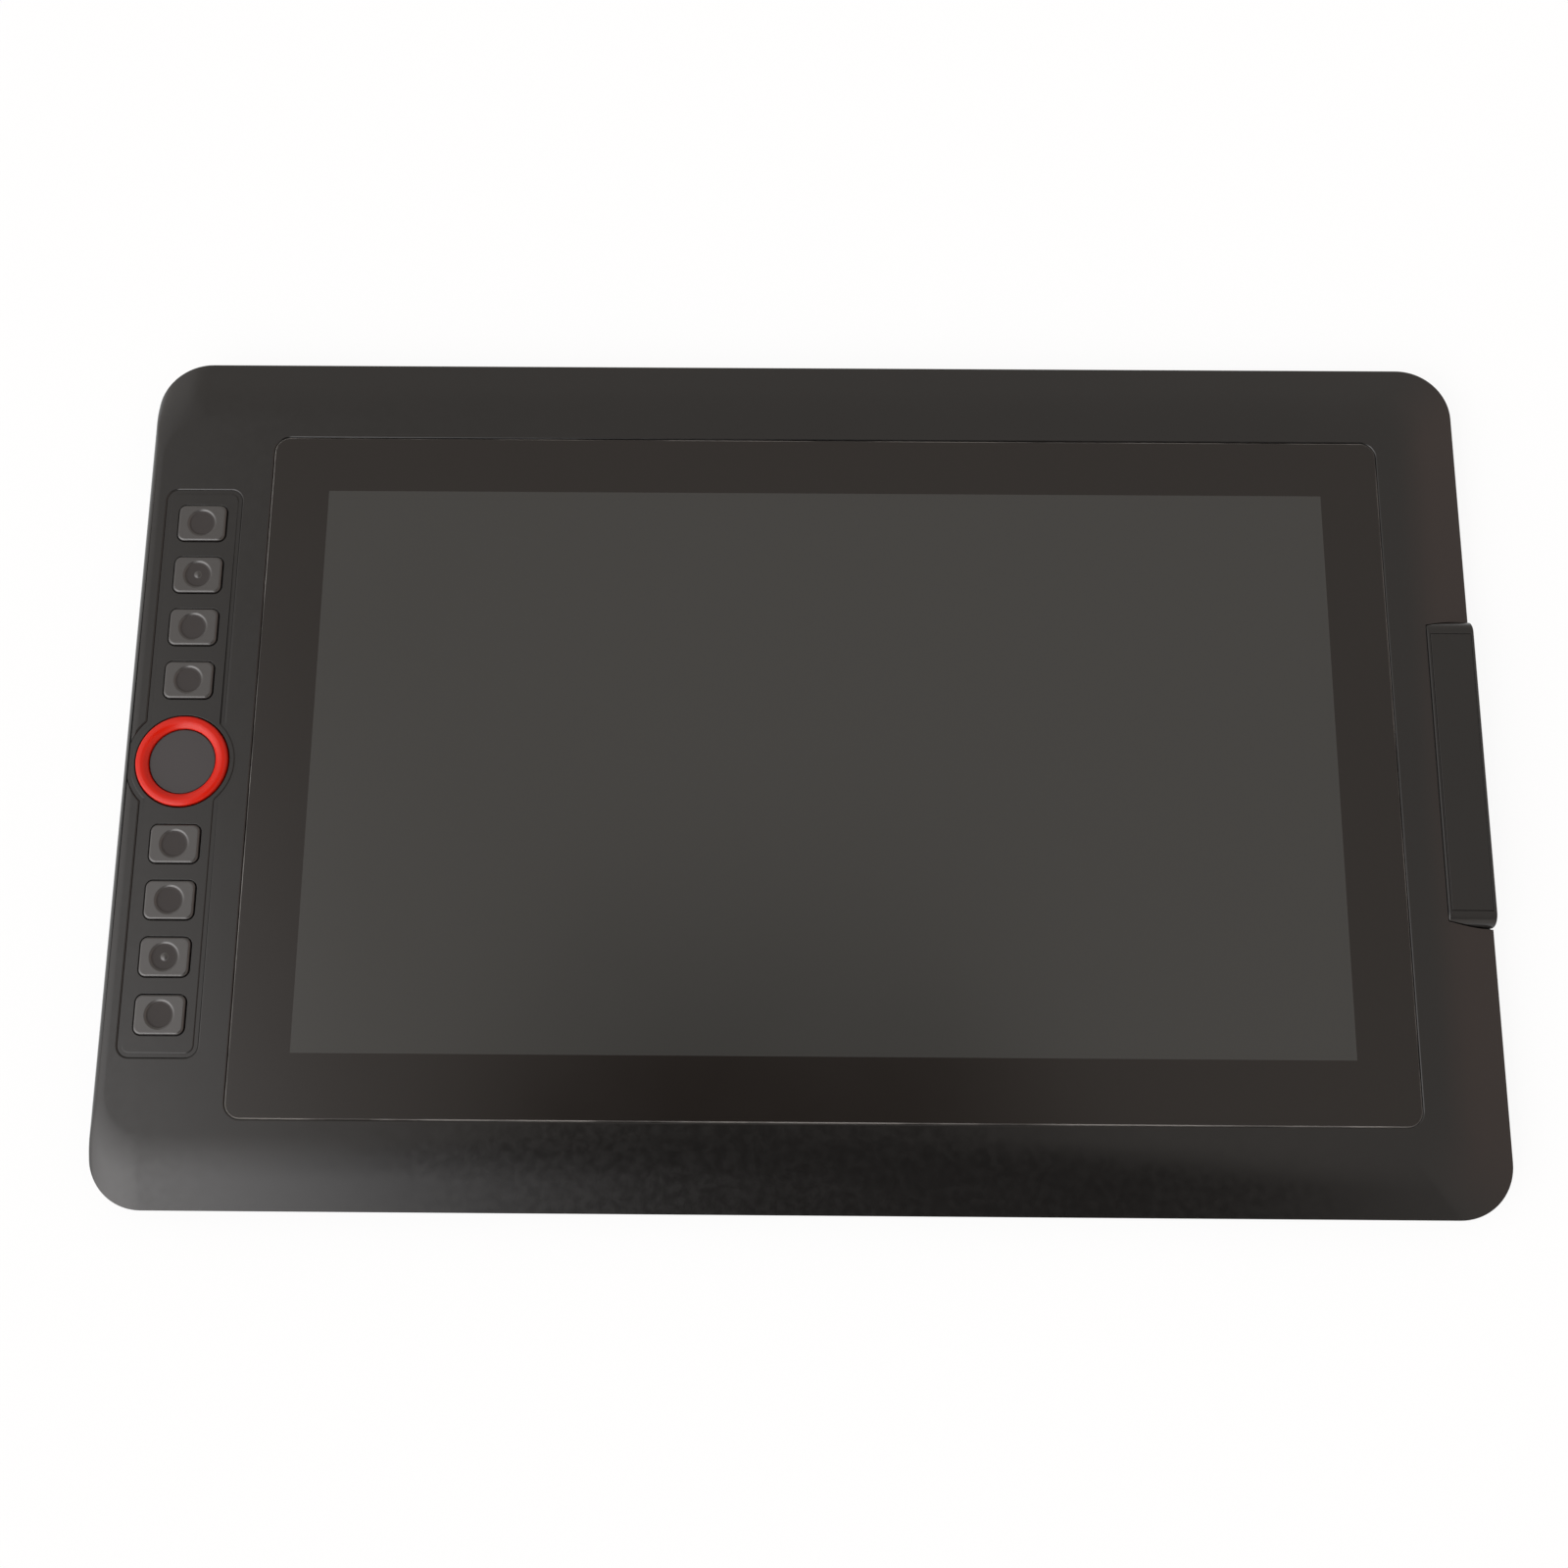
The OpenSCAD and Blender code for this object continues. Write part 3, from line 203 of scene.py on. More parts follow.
def recess_mouth(edge):
    level = all(abs(v.co.z - cover_z * MM) < 1e-6 for v in edge.verts)
    on_flat = all(abs(v.co.x) < cover_flat[0] * MM and abs(v.co.y) < cover_flat[1] * MM for v in edge.verts)
    return level and on_flat and edge.calc_face_angle(0) > 1.2


soften(back_shell, recess_mouth, mouth_round, 3)
smooth(back_shell)


def new_material(name):
    material = bpy.data.materials.new(name)
    material.use_nodes = True
    nodes = material.node_tree.nodes
    place = nodes.new("ShaderNodeTexCoord")
    return material, nodes, material.node_tree.links, nodes["Principled BSDF"], place.outputs["Object"]


def add_noise(nodes, links, place, scale, detail):
    noise = nodes.new("ShaderNodeTexNoise")
    noise.inputs["Scale"].default_value = scale
    noise.inputs["Detail"].default_value = detail
    links.new(place, noise.inputs["Vector"])
    return noise.outputs["Fac"]


def add_range(nodes, links, value, low, high, start=0.35, end=0.65):
    spread = nodes.new("ShaderNodeMapRange")
    for name, number in (("From Min", start), ("From Max", end), ("To Min", low), ("To Max", high)):
        spread.inputs[name].default_value = number
    links.new(value, spread.inputs["Value"])
    return spread.outputs["Result"]


def add_mix(nodes, links, factor, first, second):
    mix = nodes.new("ShaderNodeMix")
    mix.data_type = "RGBA"
    links.new(factor, mix.inputs[0])
    for socket, colour in ((mix.inputs[6], first), (mix.inputs[7], second)):
        if isinstance(colour, tuple):
            socket.default_value = (*colour, 1)
        else:
            links.new(colour, socket)
    return mix.outputs[2]


def add_bump(nodes, links, height, strength, depth):
    bump = nodes.new("ShaderNodeBump")
    bump.inputs["Strength"].default_value = strength
    bump.inputs["Distance"].default_value = depth * MM
    links.new(height, bump.inputs["Height"])
    return bump.outputs["Normal"]


# Moulded plastic: a spark-eroded grain, faint patches of colour, and a duller or shinier skin
def moulded_plastic(name, dark, light, roughness, grain=0.35, relief=0.002, gloss=0.5):
    material, nodes, links, shader, place = new_material(name)
    shader.inputs["Specular IOR Level"].default_value = gloss
    patches = add_noise(nodes, links, place, 38, 4)
    links.new(add_mix(nodes, links, patches, dark, light), shader.inputs["Base Color"])
    rubs = add_noise(nodes, links, place, 420, 3)
    links.new(add_range(nodes, links, rubs, roughness - 0.03, roughness + 0.03), shader.inputs["Roughness"])
    pores = add_noise(nodes, links, place, 1000 / grain, 2)
    links.new(add_bump(nodes, links, pores, 0.35, relief), shader.inputs["Normal"])
    return material


case_black = moulded_plastic("case_black", (0.0074, 0.0071, 0.0069), (0.0092, 0.0088, 0.0086), 0.2)
back_shell.data.materials.append(case_black)
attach(back_shell, "tablet")
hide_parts("rear_cover")

# Feet
# Four long rubber pads under the tray, moulded with a rounded edge and glued in, so that the
# tablet doesn't slide on a desk.
foot_half = (23, 4.5)
foot_r = 4.49
foot_profile = ((0.5, 0), (0.15, 0.15), (0, 0.5), (0, 1.8))
feet = []
for x, y in foot_places:
    outlines = [(x - foot_half[0] + inset, x + foot_half[0] - inset,
                 y - foot_half[1] + inset, y + foot_half[1] - inset, foot_r - inset, z)
                for inset, z in foot_profile]
    feet.append(loft("foot", outlines, steps=12))
feet = join("feet", feet)
smooth(feet)
foot_rubber = moulded_plastic("foot_rubber", (0.012, 0.012, 0.012), (0.02, 0.02, 0.019), 0.75,
                              grain=0.5, relief=0.03)
feet.data.materials.append(foot_rubber)
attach(feet, "tablet")
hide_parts("rubber_feet")


# Screws
# Small pan-head screws with a crossed drive, plated dark: ten through the tray, and shorter ones
# that hold the boards and the support plate.
def worn_metal(name, dark, light, roughness, scratches):
    material, nodes, links, shader, place = new_material(name)
    shader.inputs["Metallic"].default_value = 1
    stretch = nodes.new("ShaderNodeMapping")
    stretch.inputs["Scale"].default_value = scratches
    links.new(place, stretch.inputs["Vector"])
    lines = add_noise(nodes, links, stretch.outputs["Vector"], 1, 3)
    links.new(add_mix(nodes, links, lines, dark, light), shader.inputs["Base Color"])
    links.new(add_range(nodes, links, lines, roughness - 0.08, roughness + 0.1), shader.inputs["Roughness"])
    links.new(add_bump(nodes, links, lines, 0.15, 0.01), shader.inputs["Normal"])
    return material


def dress_node(name, material):
    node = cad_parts[name]
    node.data.materials.clear()
    node.data.materials.append(material)


screw_steel = worn_metal("screw_steel", (0.09, 0.09, 0.095), (0.16, 0.16, 0.165), 0.36, (2500, 2500, 2500))
for name in ("case_screws", "inner_screws"):
    dress_node(name, screw_steel)


# Circuit boards
# Glass-fibre boards under green solder mask, with the copper tracks showing as paler lines: the
# main board, the key board, the port board, the lamp strip, and the pen sensing board.
def solder_mask(name, mask, track):
    material, nodes, links, shader, place = new_material(name)
    shader.inputs["Roughness"].default_value = 0.32
    tracks = nodes.new("ShaderNodeTexVoronoi")
    tracks.feature = "DISTANCE_TO_EDGE"
    tracks.distance = "EUCLIDEAN"
    tracks.inputs["Scale"].default_value = 420
    links.new(place, tracks.inputs["Vector"])
    edges = add_range(nodes, links, tracks.outputs["Distance"], 1, 0, 0.04, 0.08)
    links.new(add_mix(nodes, links, edges, mask, track), shader.inputs["Base Color"])
    links.new(add_bump(nodes, links, edges, 0.3, 0.03), shader.inputs["Normal"])
    return material


board_green = solder_mask("board_green", (0.008, 0.075, 0.03), (0.03, 0.19, 0.07))
for name in ("main_board", "key_board", "port_board", "led_bar", "digitizer_board"):
    dress_node(name, board_green)

# Chips, switches and sockets
# Black moulded packages soldered to the boards, with pale nylon for ribbon sockets, plungers, the
# dial's fixed post and the lamp behind the indicator.
chip_black = moulded_plastic("chip_black", (0.01, 0.01, 0.01), (0.022, 0.022, 0.022), 0.55, grain=0.2)
for name in ("main_board_chips", "switch_bodies", "dial_rotor", "encoder_sensor", "power_switch"):
    dress_node(name, chip_black)
nylon_cream = moulded_plastic("nylon_cream", (0.62, 0.58, 0.47), (0.72, 0.68, 0.57), 0.45, grain=0.4)
nylon_names = ["ribbon_connectors", "dial_hub", "indicator_led", "power_plunger"]
nylon_names += [f"switch_plunger_{i}" for i in range(1, 9)]
for name in nylon_names:
    dress_node(name, nylon_cream)

# Springs, domes and ribbons
# Pressed spring steel for the dial's click, brass snap domes in the switches, and copper tracks
# between amber films for the ribbons.
spring_steel = worn_metal("spring_steel", (0.5, 0.5, 0.5), (0.66, 0.66, 0.66), 0.3, (300, 6000, 300))
dress_node("detent_spring", spring_steel)
dome_brass = worn_metal("dome_brass", (0.62, 0.42, 0.15), (0.78, 0.57, 0.25), 0.28, (4000, 4000, 4000))
dress_node("contact_domes", dome_brass)
ribbon_amber = moulded_plastic("ribbon_amber", (0.42, 0.15, 0.02), (0.55, 0.22, 0.04), 0.3, grain=1)
for name in ("display_ribbon", "digitizer_ribbon", "key_ribbon", "port_ribbon"):
    dress_node(name, ribbon_amber)

# Support plate, shield and backlight tray
# Rolled and pressed sheet: an aluminium plate that stiffens the frame, a dull magnetic sheet
# behind the pen board, and a bright steel tray for the light guide.
plate_metal = worn_metal("plate_metal", (0.55, 0.55, 0.57), (0.68, 0.68, 0.7), 0.38, (40, 3000, 40))
dress_node("support_plate", plate_metal)
tray_steel = worn_metal("tray_steel", (0.48, 0.48, 0.49), (0.6, 0.6, 0.61), 0.3, (3000, 40, 40))
dress_node("backlight_tray", tray_steel)
shield_grey = moulded_plastic("shield_grey", (0.17, 0.17, 0.185), (0.23, 0.23, 0.245), 0.6, grain=0.6)
dress_node("shield_sheet", shield_grey)

# Screen stack
# White reflector and diffuser films, a clear light guide and bonding film, and the dark panel
# itself, all cut sheets that lie on each other in the tray.
film_white = moulded_plastic("film_white", (0.78, 0.78, 0.77), (0.86, 0.86, 0.85), 0.5, grain=0.8)
for name in ("reflector_sheet", "diffuser_films"):
    dress_node(name, film_white)
guide_clear = moulded_plastic("guide_clear", (0.68, 0.72, 0.74), (0.76, 0.79, 0.81), 0.12, grain=2)
for name in ("light_guide", "bonding_film"):
    dress_node(name, guide_clear)
panel_dark = moulded_plastic("panel_dark", (0.016, 0.016, 0.018), (0.022, 0.022, 0.024), 0.2, grain=1)
dress_node("lcd_panel", panel_dark)
gasket_black = moulded_plastic("gasket_black", (0.008, 0.008, 0.008), (0.016, 0.016, 0.016), 0.9,
                               grain=0.4, relief=0.05)
dress_node("glass_gasket", gasket_black)

# Front frame
# One moulding of black satin plastic. A level band round the glass falls away in a wide slant at
# the top, right and bottom, and the left edge is rounded. Screws from below hold it to the tray.
front_z = 13
rim_drop = 4
slant_w = 20.5
slant_start = 12
slant_slope = rim_drop / (slant_w - slant_start / 2)
corner_r = 12
left_round = 4.2
screen_x, screen_y = 6.2, -0.4
opening_half = (164.06, 100.21)
opening_r = 4.8
opening_least_r = 2
lip_w = 0.25
glass_top_z = 12.85
ledge_z = 11.3
ledge_w = 4.3
bay_z = 7.3
bay_wall = 1.2
column_x = -177.4


def front_outline(turn, inward, lower):
    drop = rim_drop * (1 - math.cos(turn))
    curved = math.sqrt(2 * slant_start * drop / slant_slope)
    rest = slant_w - (curved if curved < slant_start else drop / slant_slope + slant_start / 2)
    left = inward + left_round * (1 - math.sin(turn))
    radius = corner_r + (body_r - corner_r) * (1 - rest / slant_w)
    return body_outline(left, inward + rest, radius - inward, front_z - lower - drop)


def opening_outline(grow, z):
    return (screen_x - opening_half[0] - grow, screen_x + opening_half[0] + grow,
            screen_y - opening_half[1] - grow, screen_y + opening_half[1] + grow,
            max(opening_least_r, opening_r + grow), z)


front_turns = [math.radians(90 * i / 15) for i in range(16)]
inner_turns = [math.radians(87 * i / 7) for i in range(8)]
frame_outlines = [body_outline(seam_bevel, seam_bevel, body_r - seam_bevel, seam_z)]
frame_outlines += [body_outline(0, 0, body_r, seam_z + seam_bevel)]
frame_outlines += [front_outline(t, 0, 0) for t in reversed(front_turns)]
frame_outlines += [opening_outline(lip_w, front_z), opening_outline(0, glass_top_z)]
frame_outlines += [opening_outline(0, ledge_z)]
frame_outlines += [opening_outline(-ledge_w, ledge_z), opening_outline(-ledge_w, bay_z)]
frame_outlines += [opening_outline(bay_wall, bay_z), opening_outline(bay_wall, front_z - shell_wall)]
frame_outlines += [front_outline(t, shell_wall, shell_wall) for t in inner_turns]
front_frame = loft("front_frame", frame_outlines, steps=20, ring_closed=True)

strip_half = 10.55
strip_near, strip_far = -83.4, 82.2
strip_r = 2.8
bulge_r = 15.55
bulge_flat_x = -192.225


# The long plate's outline: a rounded strip with a round bulge at the dial, flat towards the left edge
def key_strip(name, grow, low, high):
    strip = loft(name, [(column_x - strip_half - grow, column_x + strip_half + grow,
                         strip_near - grow, strip_far + grow, strip_r + grow, z) for z in (low, high)])
    bpy.ops.object.select_all(action="DESELECT")
    bpy.ops.mesh.primitive_cylinder_add(vertices=160, radius=(bulge_r + grow) * MM,
                                        depth=(high - low) * MM, enter_editmode=True)
    bulge = bpy.context.object
    bpy.ops.transform.translate(value=(column_x * MM, 0, (low + high) / 2 * MM))
    bpy.ops.object.mode_set(mode="OBJECT")
    carve(strip, bulge, "UNION")
    edit(strip)
    bpy.ops.mesh.select_all(action="SELECT")
    bpy.ops.mesh.bisect(plane_co=((bulge_flat_x - grow) * MM, 0, 0), plane_no=(1, 0, 0),
                        use_fill=True, clear_inner=True)
    return close_up(strip)


groove_half = 0.575
pocket_z = (10, 15)
carve(front_frame, key_strip("pocket", groove_half, *pocket_z))


# The port tab's form: a block with ends that fall in a round from its top to the frame's rim
def tab_block(name, x0, x1, half, low, high, round_r, y=0):
    bpy.ops.object.select_all(action="DESELECT")
    bpy.ops.mesh.primitive_cube_add(size=1, enter_editmode=True)
    block = bpy.context.object
    block.name = block.data.name = name
    bpy.ops.transform.resize(value=((x1 - x0) * MM, 2 * half * MM, (high - low) * MM),
                             center_override=(0, 0, 0))
    bpy.ops.transform.translate(value=((x0 + x1) / 2 * MM, y * MM, (low + high) / 2 * MM))
    choose(block, lambda e: all(v.co.z > (high - 0.1) * MM for v in e.verts)
           and e.verts[0].co.y * e.verts[1].co.y > 0)
    bpy.ops.mesh.bevel(offset=round_r * MM, segments=12, affect="EDGES")
    return close_up(block)


tab_x0, tab_x1 = 181.4, 195
tab_half = 45
tab_gap = 0.08
end_gap = 0.26
notch_half = tab_half + end_gap
notch_y = -0.14
notch_low = 5
notch_reach = 3
carve(front_frame, tab_block("notch", tab_x0 - tab_gap, tab_x1 + notch_reach, notch_half, notch_low,
                             front_z + end_gap, rim_drop + end_gap, notch_y))

groove_round = 0.5
groove_right_x, groove_half_y, groove_low_z = -166, 86, 12.3
lip_margin = 1.5
lip_low_z = 12.65


def groove_rim(edge):
    near_plate = all(v.co.x < groove_right_x * MM and abs(v.co.y) < groove_half_y * MM for v in edge.verts)
    high = all(v.co.z > groove_low_z * MM for v in edge.verts)
    return near_plate and high and edge.calc_face_angle(0) > 0.9


def lip_edge(edge):
    by_glass = all(abs(v.co.x - screen_x * MM) < (opening_half[0] + lip_margin) * MM
                   and abs(v.co.y - screen_y * MM) < (opening_half[1] + lip_margin) * MM
                   for v in edge.verts)
    high = all(v.co.z > lip_low_z * MM for v in edge.verts)
    return by_glass and high and edge.calc_face_angle(0) > 0.2


soften(front_frame, groove_rim, groove_round, 3)
edit(front_frame)
choose(front_frame, lip_edge)
bpy.ops.mesh.mark_sharp()
bpy.ops.object.mode_set(mode="OBJECT")
smooth(front_frame)
front_frame.data.materials.append(case_black)
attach(front_frame, "tablet")
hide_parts("front_bezel")

# Cover glass
# A pane of etched glass with ground edges, glued over the panel. Its back is printed dark outside
# the picture area, which looks a little paler and greyer than the print.
glass_half = (164, 100.15)
glass_r = 4.5
glass_z = 11.6
glass_edge = 0.42
picture_half = (146.88, 82.62)
picture_y = 0.2


def glass_outline(inset, z):
    return (screen_x - glass_half[0] + inset, screen_x + glass_half[0] - inset,
            screen_y - glass_half[1] + inset, screen_y + glass_half[1] - inset, glass_r - inset, z)


pane = loft("pane", [glass_outline(glass_edge, glass_z), glass_outline(0, glass_z + glass_edge),
                     glass_outline(0, glass_top_z - glass_edge), glass_outline(glass_edge, glass_top_z)])
smooth(pane, 14)


def add_maths(nodes, links, operation, first, second=None):
    maths = nodes.new("ShaderNodeMath")
    maths.operation = operation
    for socket, value in zip(maths.inputs, (first, second)):
        if isinstance(value, (int, float)):
            socket.default_value = value
        elif value is not None:
            links.new(value, socket)
    return maths.outputs[0]


etched_glass, nodes, links, shader, place = new_material("etched_glass")
axes = nodes.new("ShaderNodeSeparateXYZ")
links.new(place, axes.inputs["Vector"])
inside = []
for axis, middle, half in (("X", screen_x, picture_half[0]), ("Y", picture_y, picture_half[1])):
    offset = add_maths(nodes, links, "SUBTRACT", axes.outputs[axis], middle * MM)
    distance = add_maths(nodes, links, "ABSOLUTE", offset)
    inside.append(add_maths(nodes, links, "LESS_THAN", distance, half * MM))
picture = add_maths(nodes, links, "MULTIPLY", inside[0], inside[1])
sparkle = add_noise(nodes, links, place, 5200, 1)
print_black = add_mix(nodes, links, sparkle, (0.0105, 0.0088, 0.0078), (0.0135, 0.0114, 0.0102))
picture_grey = add_mix(nodes, links, sparkle, (0.0315, 0.032, 0.0305), (0.038, 0.0386, 0.037))
links.new(add_mix(nodes, links, picture, print_black, picture_grey), shader.inputs["Base Color"])
smears = add_noise(nodes, links, place, 22, 4)
links.new(add_range(nodes, links, smears, 0.15, 0.19), shader.inputs["Roughness"])
links.new(add_bump(nodes, links, sparkle, 0.2, 0.003), shader.inputs["Normal"])
shader.inputs["IOR"].default_value = 1.44
pane.data.materials.append(etched_glass)

# The ground edge: pale ground glass in patches, partly painted highlight where the edge catches the
# window's light. The patches come from a noise shifted along the edge.
ground_edge, nodes, links, shader, place = new_material("ground_edge")
shader.inputs["Roughness"].default_value = 0.6
chip_and_glint_shift = nodes.new("ShaderNodeMapping")
chip_and_glint_shift.inputs["Location"].default_value = (0, 0, 0.55)
links.new(place, chip_and_glint_shift.inputs["Vector"])
chips_and_glints = add_noise(nodes, links, chip_and_glint_shift.outputs["Vector"], 46, 5)
chips_and_glints = add_range(nodes, links, chips_and_glints, 0, 1, 0.38, 0.58)
# The pale tone is ground glass and a painted highlight together. The dark tone is kept light so the edge
# never shows as a shaded line.
edge_dark, pale_edge_and_highlight = (0.06, 0.057, 0.054), (0.2, 0.194, 0.186)
links.new(add_mix(nodes, links, chips_and_glints, edge_dark, pale_edge_and_highlight), shader.inputs["Base Color"])
pane.data.materials.append(ground_edge)
edit(pane)
choose(pane, lambda f: 0.2 < f.normal.z < 0.9, "faces")
pane.active_material_index = 1
bpy.ops.object.material_slot_assign()
bpy.ops.object.mode_set(mode="OBJECT")
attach(pane, "tablet")
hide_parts("cover_glass")

# Key plate
# A long moulded plate let into the front frame, with a shallow groove round it. Holes for the keys
# and the ring are cut through it, and its edges are rounded over.
plate_z = 11.2
groove_floor_z = 12.72
plate_round = 0.26
key_ys = [72.25, 56.2, 40.15, 24.1, -24.1, -40.15, -56.2, -72.25]
key_hole = (7.2, 5.7)
key_hole_r = 2.3
hole_z = (9, 15)
flange_gap = 0.02
flange_drop = 0.05
ring_hole_r = 13.5
key_plate = key_strip("key_plate", -groove_half, plate_z, front_z)


def plate_rim(edge):
    level = all(abs(v.co.z - front_z * MM) < 1e-6 for v in edge.verts)
    return level and edge.calc_face_angle(0) > 1.2


flange = key_strip("plate_flange", groove_half - flange_gap, plate_z - flange_drop, groove_floor_z)
carve(key_plate, flange, "UNION")
holes = []
for y in key_ys:
    holes.append(loft("hole", [(column_x - key_hole[0], column_x + key_hole[0],
                                y - key_hole[1], y + key_hole[1], key_hole_r, z) for z in hole_z]))
bpy.ops.object.select_all(action="DESELECT")
bpy.ops.mesh.primitive_cylinder_add(vertices=160, radius=ring_hole_r * MM,
                                    depth=(hole_z[1] - hole_z[0]) * MM, enter_editmode=True)
bpy.ops.transform.translate(value=(column_x * MM, 0, (hole_z[0] + hole_z[1]) / 2 * MM))
bpy.ops.object.mode_set(mode="OBJECT")
holes.append(bpy.context.object)
carve(key_plate, join("holes", holes))
soften(key_plate, plate_rim, plate_round, 5)
smooth(key_plate)
key_plate.data.materials.append(case_black)
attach(key_plate, "tablet")
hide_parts("key_panel")

# Keys
# Eight press keys of slightly paler plastic, each with a round finger dish, and a raised dot in
# the dish of two of them. A flange under the plate keeps a key in its hole.
key_half = (7, 5.5)
key_r = 2
key_top_z = 13.7
key_soft = 0.6
key_flange = ((0.9, 10.2), (0.9, 11.1), (0, 11.1))
dish_floor_z = 13.25
dish_r = 3.5
dish_wall = 1.45
dish_depth = 1
dish_round = 0.4
dish_rim_r = 4.5
dish_rim_round = 0.15
dull_r = 3.7
pusher_r = 2
pusher_h = 1.2
pusher_z = 9.9
dot_r = 2.1
dot_sink = 1.75
dotted = (2, 7)


def key_outline(grow, z):
    return (column_x - key_half[0] - grow, column_x + key_half[0] + grow,
            -key_half[1] - grow, key_half[1] + grow, key_r + grow / 2, z)


key_outlines = [key_outline(grow, z) for grow, z in key_flange]
for i in range(7):
    turn = math.radians(90 * i / 6)
    inset = key_soft * (1 - math.cos(turn))
    key_outlines.append(key_outline(-inset, key_top_z - key_soft * (1 - math.sin(turn))))
plain_key = loft("plain_key", key_outlines, steps=8)
bpy.ops.object.select_all(action="DESELECT")
bpy.ops.mesh.primitive_cone_add(vertices=72, radius1=dish_r * MM, radius2=(dish_r + dish_wall) * MM,
                                depth=dish_depth * MM, enter_editmode=True)
dish = bpy.context.object
bpy.ops.transform.translate(value=(column_x * MM, 0, (dish_floor_z + dish_depth / 2) * MM))
choose(dish, lambda e: all(v.co.z < (dish_floor_z + 0.1) * MM for v in e.verts))
bpy.ops.mesh.bevel(offset=dish_round * MM, segments=5, affect="EDGES")
carve(plain_key, close_up(dish))
bpy.ops.object.select_all(action="DESELECT")
bpy.ops.mesh.primitive_cylinder_add(vertices=32, radius=pusher_r * MM, depth=pusher_h * MM,
                                    enter_editmode=True)
pusher = bpy.context.object
bpy.ops.transform.translate(value=(column_x * MM, 0, pusher_z * MM))
carve(plain_key, close_up(pusher), "UNION")


def dish_rim(edge):
    level = all(abs(v.co.z - key_top_z * MM) < 1e-6 for v in edge.verts)
    inside = all(math.hypot(v.co.x - column_x * MM, v.co.y) < dish_rim_r * MM for v in edge.verts)
    return level and inside and edge.calc_face_angle(0) > 0.3


def dish_face(face):
    middle = face.calc_center_median()
    inside = math.hypot(middle.x - column_x * MM, middle.y) < dull_r * MM
    return inside and face.normal.z > 0.1 and middle.z < (key_top_z - 0.02) * MM


soften(plain_key, dish_rim, dish_rim_round, 3)
key_grey = moulded_plastic("key_grey", (0.021, 0.0196, 0.0192), (0.0255, 0.024, 0.0234), 0.32, gloss=0.9)
dish_grey = moulded_plastic("dish_grey", (0.029, 0.026, 0.0255), (0.035, 0.0316, 0.031), 0.65, gloss=0.3)
plain_key.data.materials.append(key_grey)
plain_key.data.materials.append(dish_grey)
edit(plain_key)
choose(plain_key, dish_face, "faces")
plain_key.active_material_index = 1
bpy.ops.object.material_slot_assign()
bpy.ops.object.mode_set(mode="OBJECT")
for i, y in enumerate(key_ys, 1):
    bpy.ops.object.select_all(action="DESELECT")
    plain_key.select_set(True)
    bpy.context.view_layer.objects.active = plain_key
    bpy.ops.object.duplicate()
    cap = bpy.context.object
    cap.name = cap.data.name = f"key_cap_{i}"
    edit(cap)
    bpy.ops.mesh.select_all(action="SELECT")
    bpy.ops.transform.translate(value=(0, y * MM, 0))
    bpy.ops.object.mode_set(mode="OBJECT")
    if i in dotted:
        bpy.ops.object.select_all(action="DESELECT")
        bpy.ops.mesh.primitive_uv_sphere_add(segments=28, ring_count=16, radius=dot_r * MM,
                                             enter_editmode=True)
        dot = bpy.context.object
        bpy.ops.transform.translate(value=(column_x * MM, y * MM, (dish_floor_z - dot_sink) * MM))
        carve(cap, close_up(dot), "UNION")
    smooth(cap, 40)
    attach(cap, f"key_{i}_body")
    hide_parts(f"key_{i}")
bpy.data.objects.remove(plain_key)

# Dial
# A red turning ring of satin plastic, turned to a soft crest near its outer edge, round a fixed
# grey disc that is set lower. The ring is glued to the rotor, and the disc to the fixed post.
ring_section = ((9.6, 9.6), (13.2, 9.6), (13.2, 13.85), (11.1, 14.22), (9.6, 13.1))
ring_rounds = (0, 0, 0.7, 0.9, 0.3)
disc_section = ((0, 11.6), (9.45, 11.6), (9.45, 12.6), (0, 12.6))
disc_rounds = (0, 0, 0.3, 0)


def turned(name, section, rounds, steps):
    bpy.ops.object.select_all(action="DESELECT")
    bpy.ops.mesh.primitive_circle_add(vertices=len(section), radius=1, fill_type="NGON",
                                      enter_editmode=True)
    piece = bpy.context.object
    piece.name = piece.data.name = name
    for i, (r, z) in enumerate(section):
        choose(piece, lambda v: v.index == i, "verts")
        was = next(v.co for v in bmesh.from_edit_mesh(piece.data).verts if v.select)
        bpy.ops.transform.translate(value=((column_x + r) * MM - was.x, -was.y, z * MM))
    for (r, z), width in zip(section, rounds):
        if width:
            choose(piece, lambda v: math.hypot(v.co.x - (column_x + r) * MM, v.co.z - z * MM) < 1e-6,
                   "verts")
            bpy.ops.mesh.bevel(offset=width * MM, segments=7, affect="VERTICES")
    bpy.ops.mesh.select_all(action="SELECT")
    bpy.ops.mesh.delete(type="ONLY_FACE")
    choose(piece, lambda e: all(abs(v.co.x - column_x * MM) < 1e-7 for v in e.verts))
    bpy.ops.mesh.delete(type="EDGE")
    bpy.ops.mesh.select_all(action="SELECT")
    bpy.ops.mesh.spin(steps=steps, angle=2 * math.pi, center=(column_x * MM, 0, 0), axis=(0, 0, 1))
    return close_up(piece)


ring = turned("ring", ring_section, ring_rounds, 144)
smooth(ring, 40)
ring_red = moulded_plastic("ring_red", (0.5, 0.01, 0.002), (0.555, 0.013, 0.004), 0.24,
                           grain=0.3, gloss=0.26)
ring.data.materials.append(ring_red)
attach(ring, "dial_body")
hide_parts("dial_ring")

disc = turned("disc", disc_section, disc_rounds, 96)
smooth(disc, 40)
disc_grey = moulded_plastic("disc_grey", (0.028, 0.0252, 0.0268), (0.0335, 0.0305, 0.0322), 0.34)
disc.data.materials.append(disc_grey)
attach(disc, "tablet")
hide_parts("dial_cap")


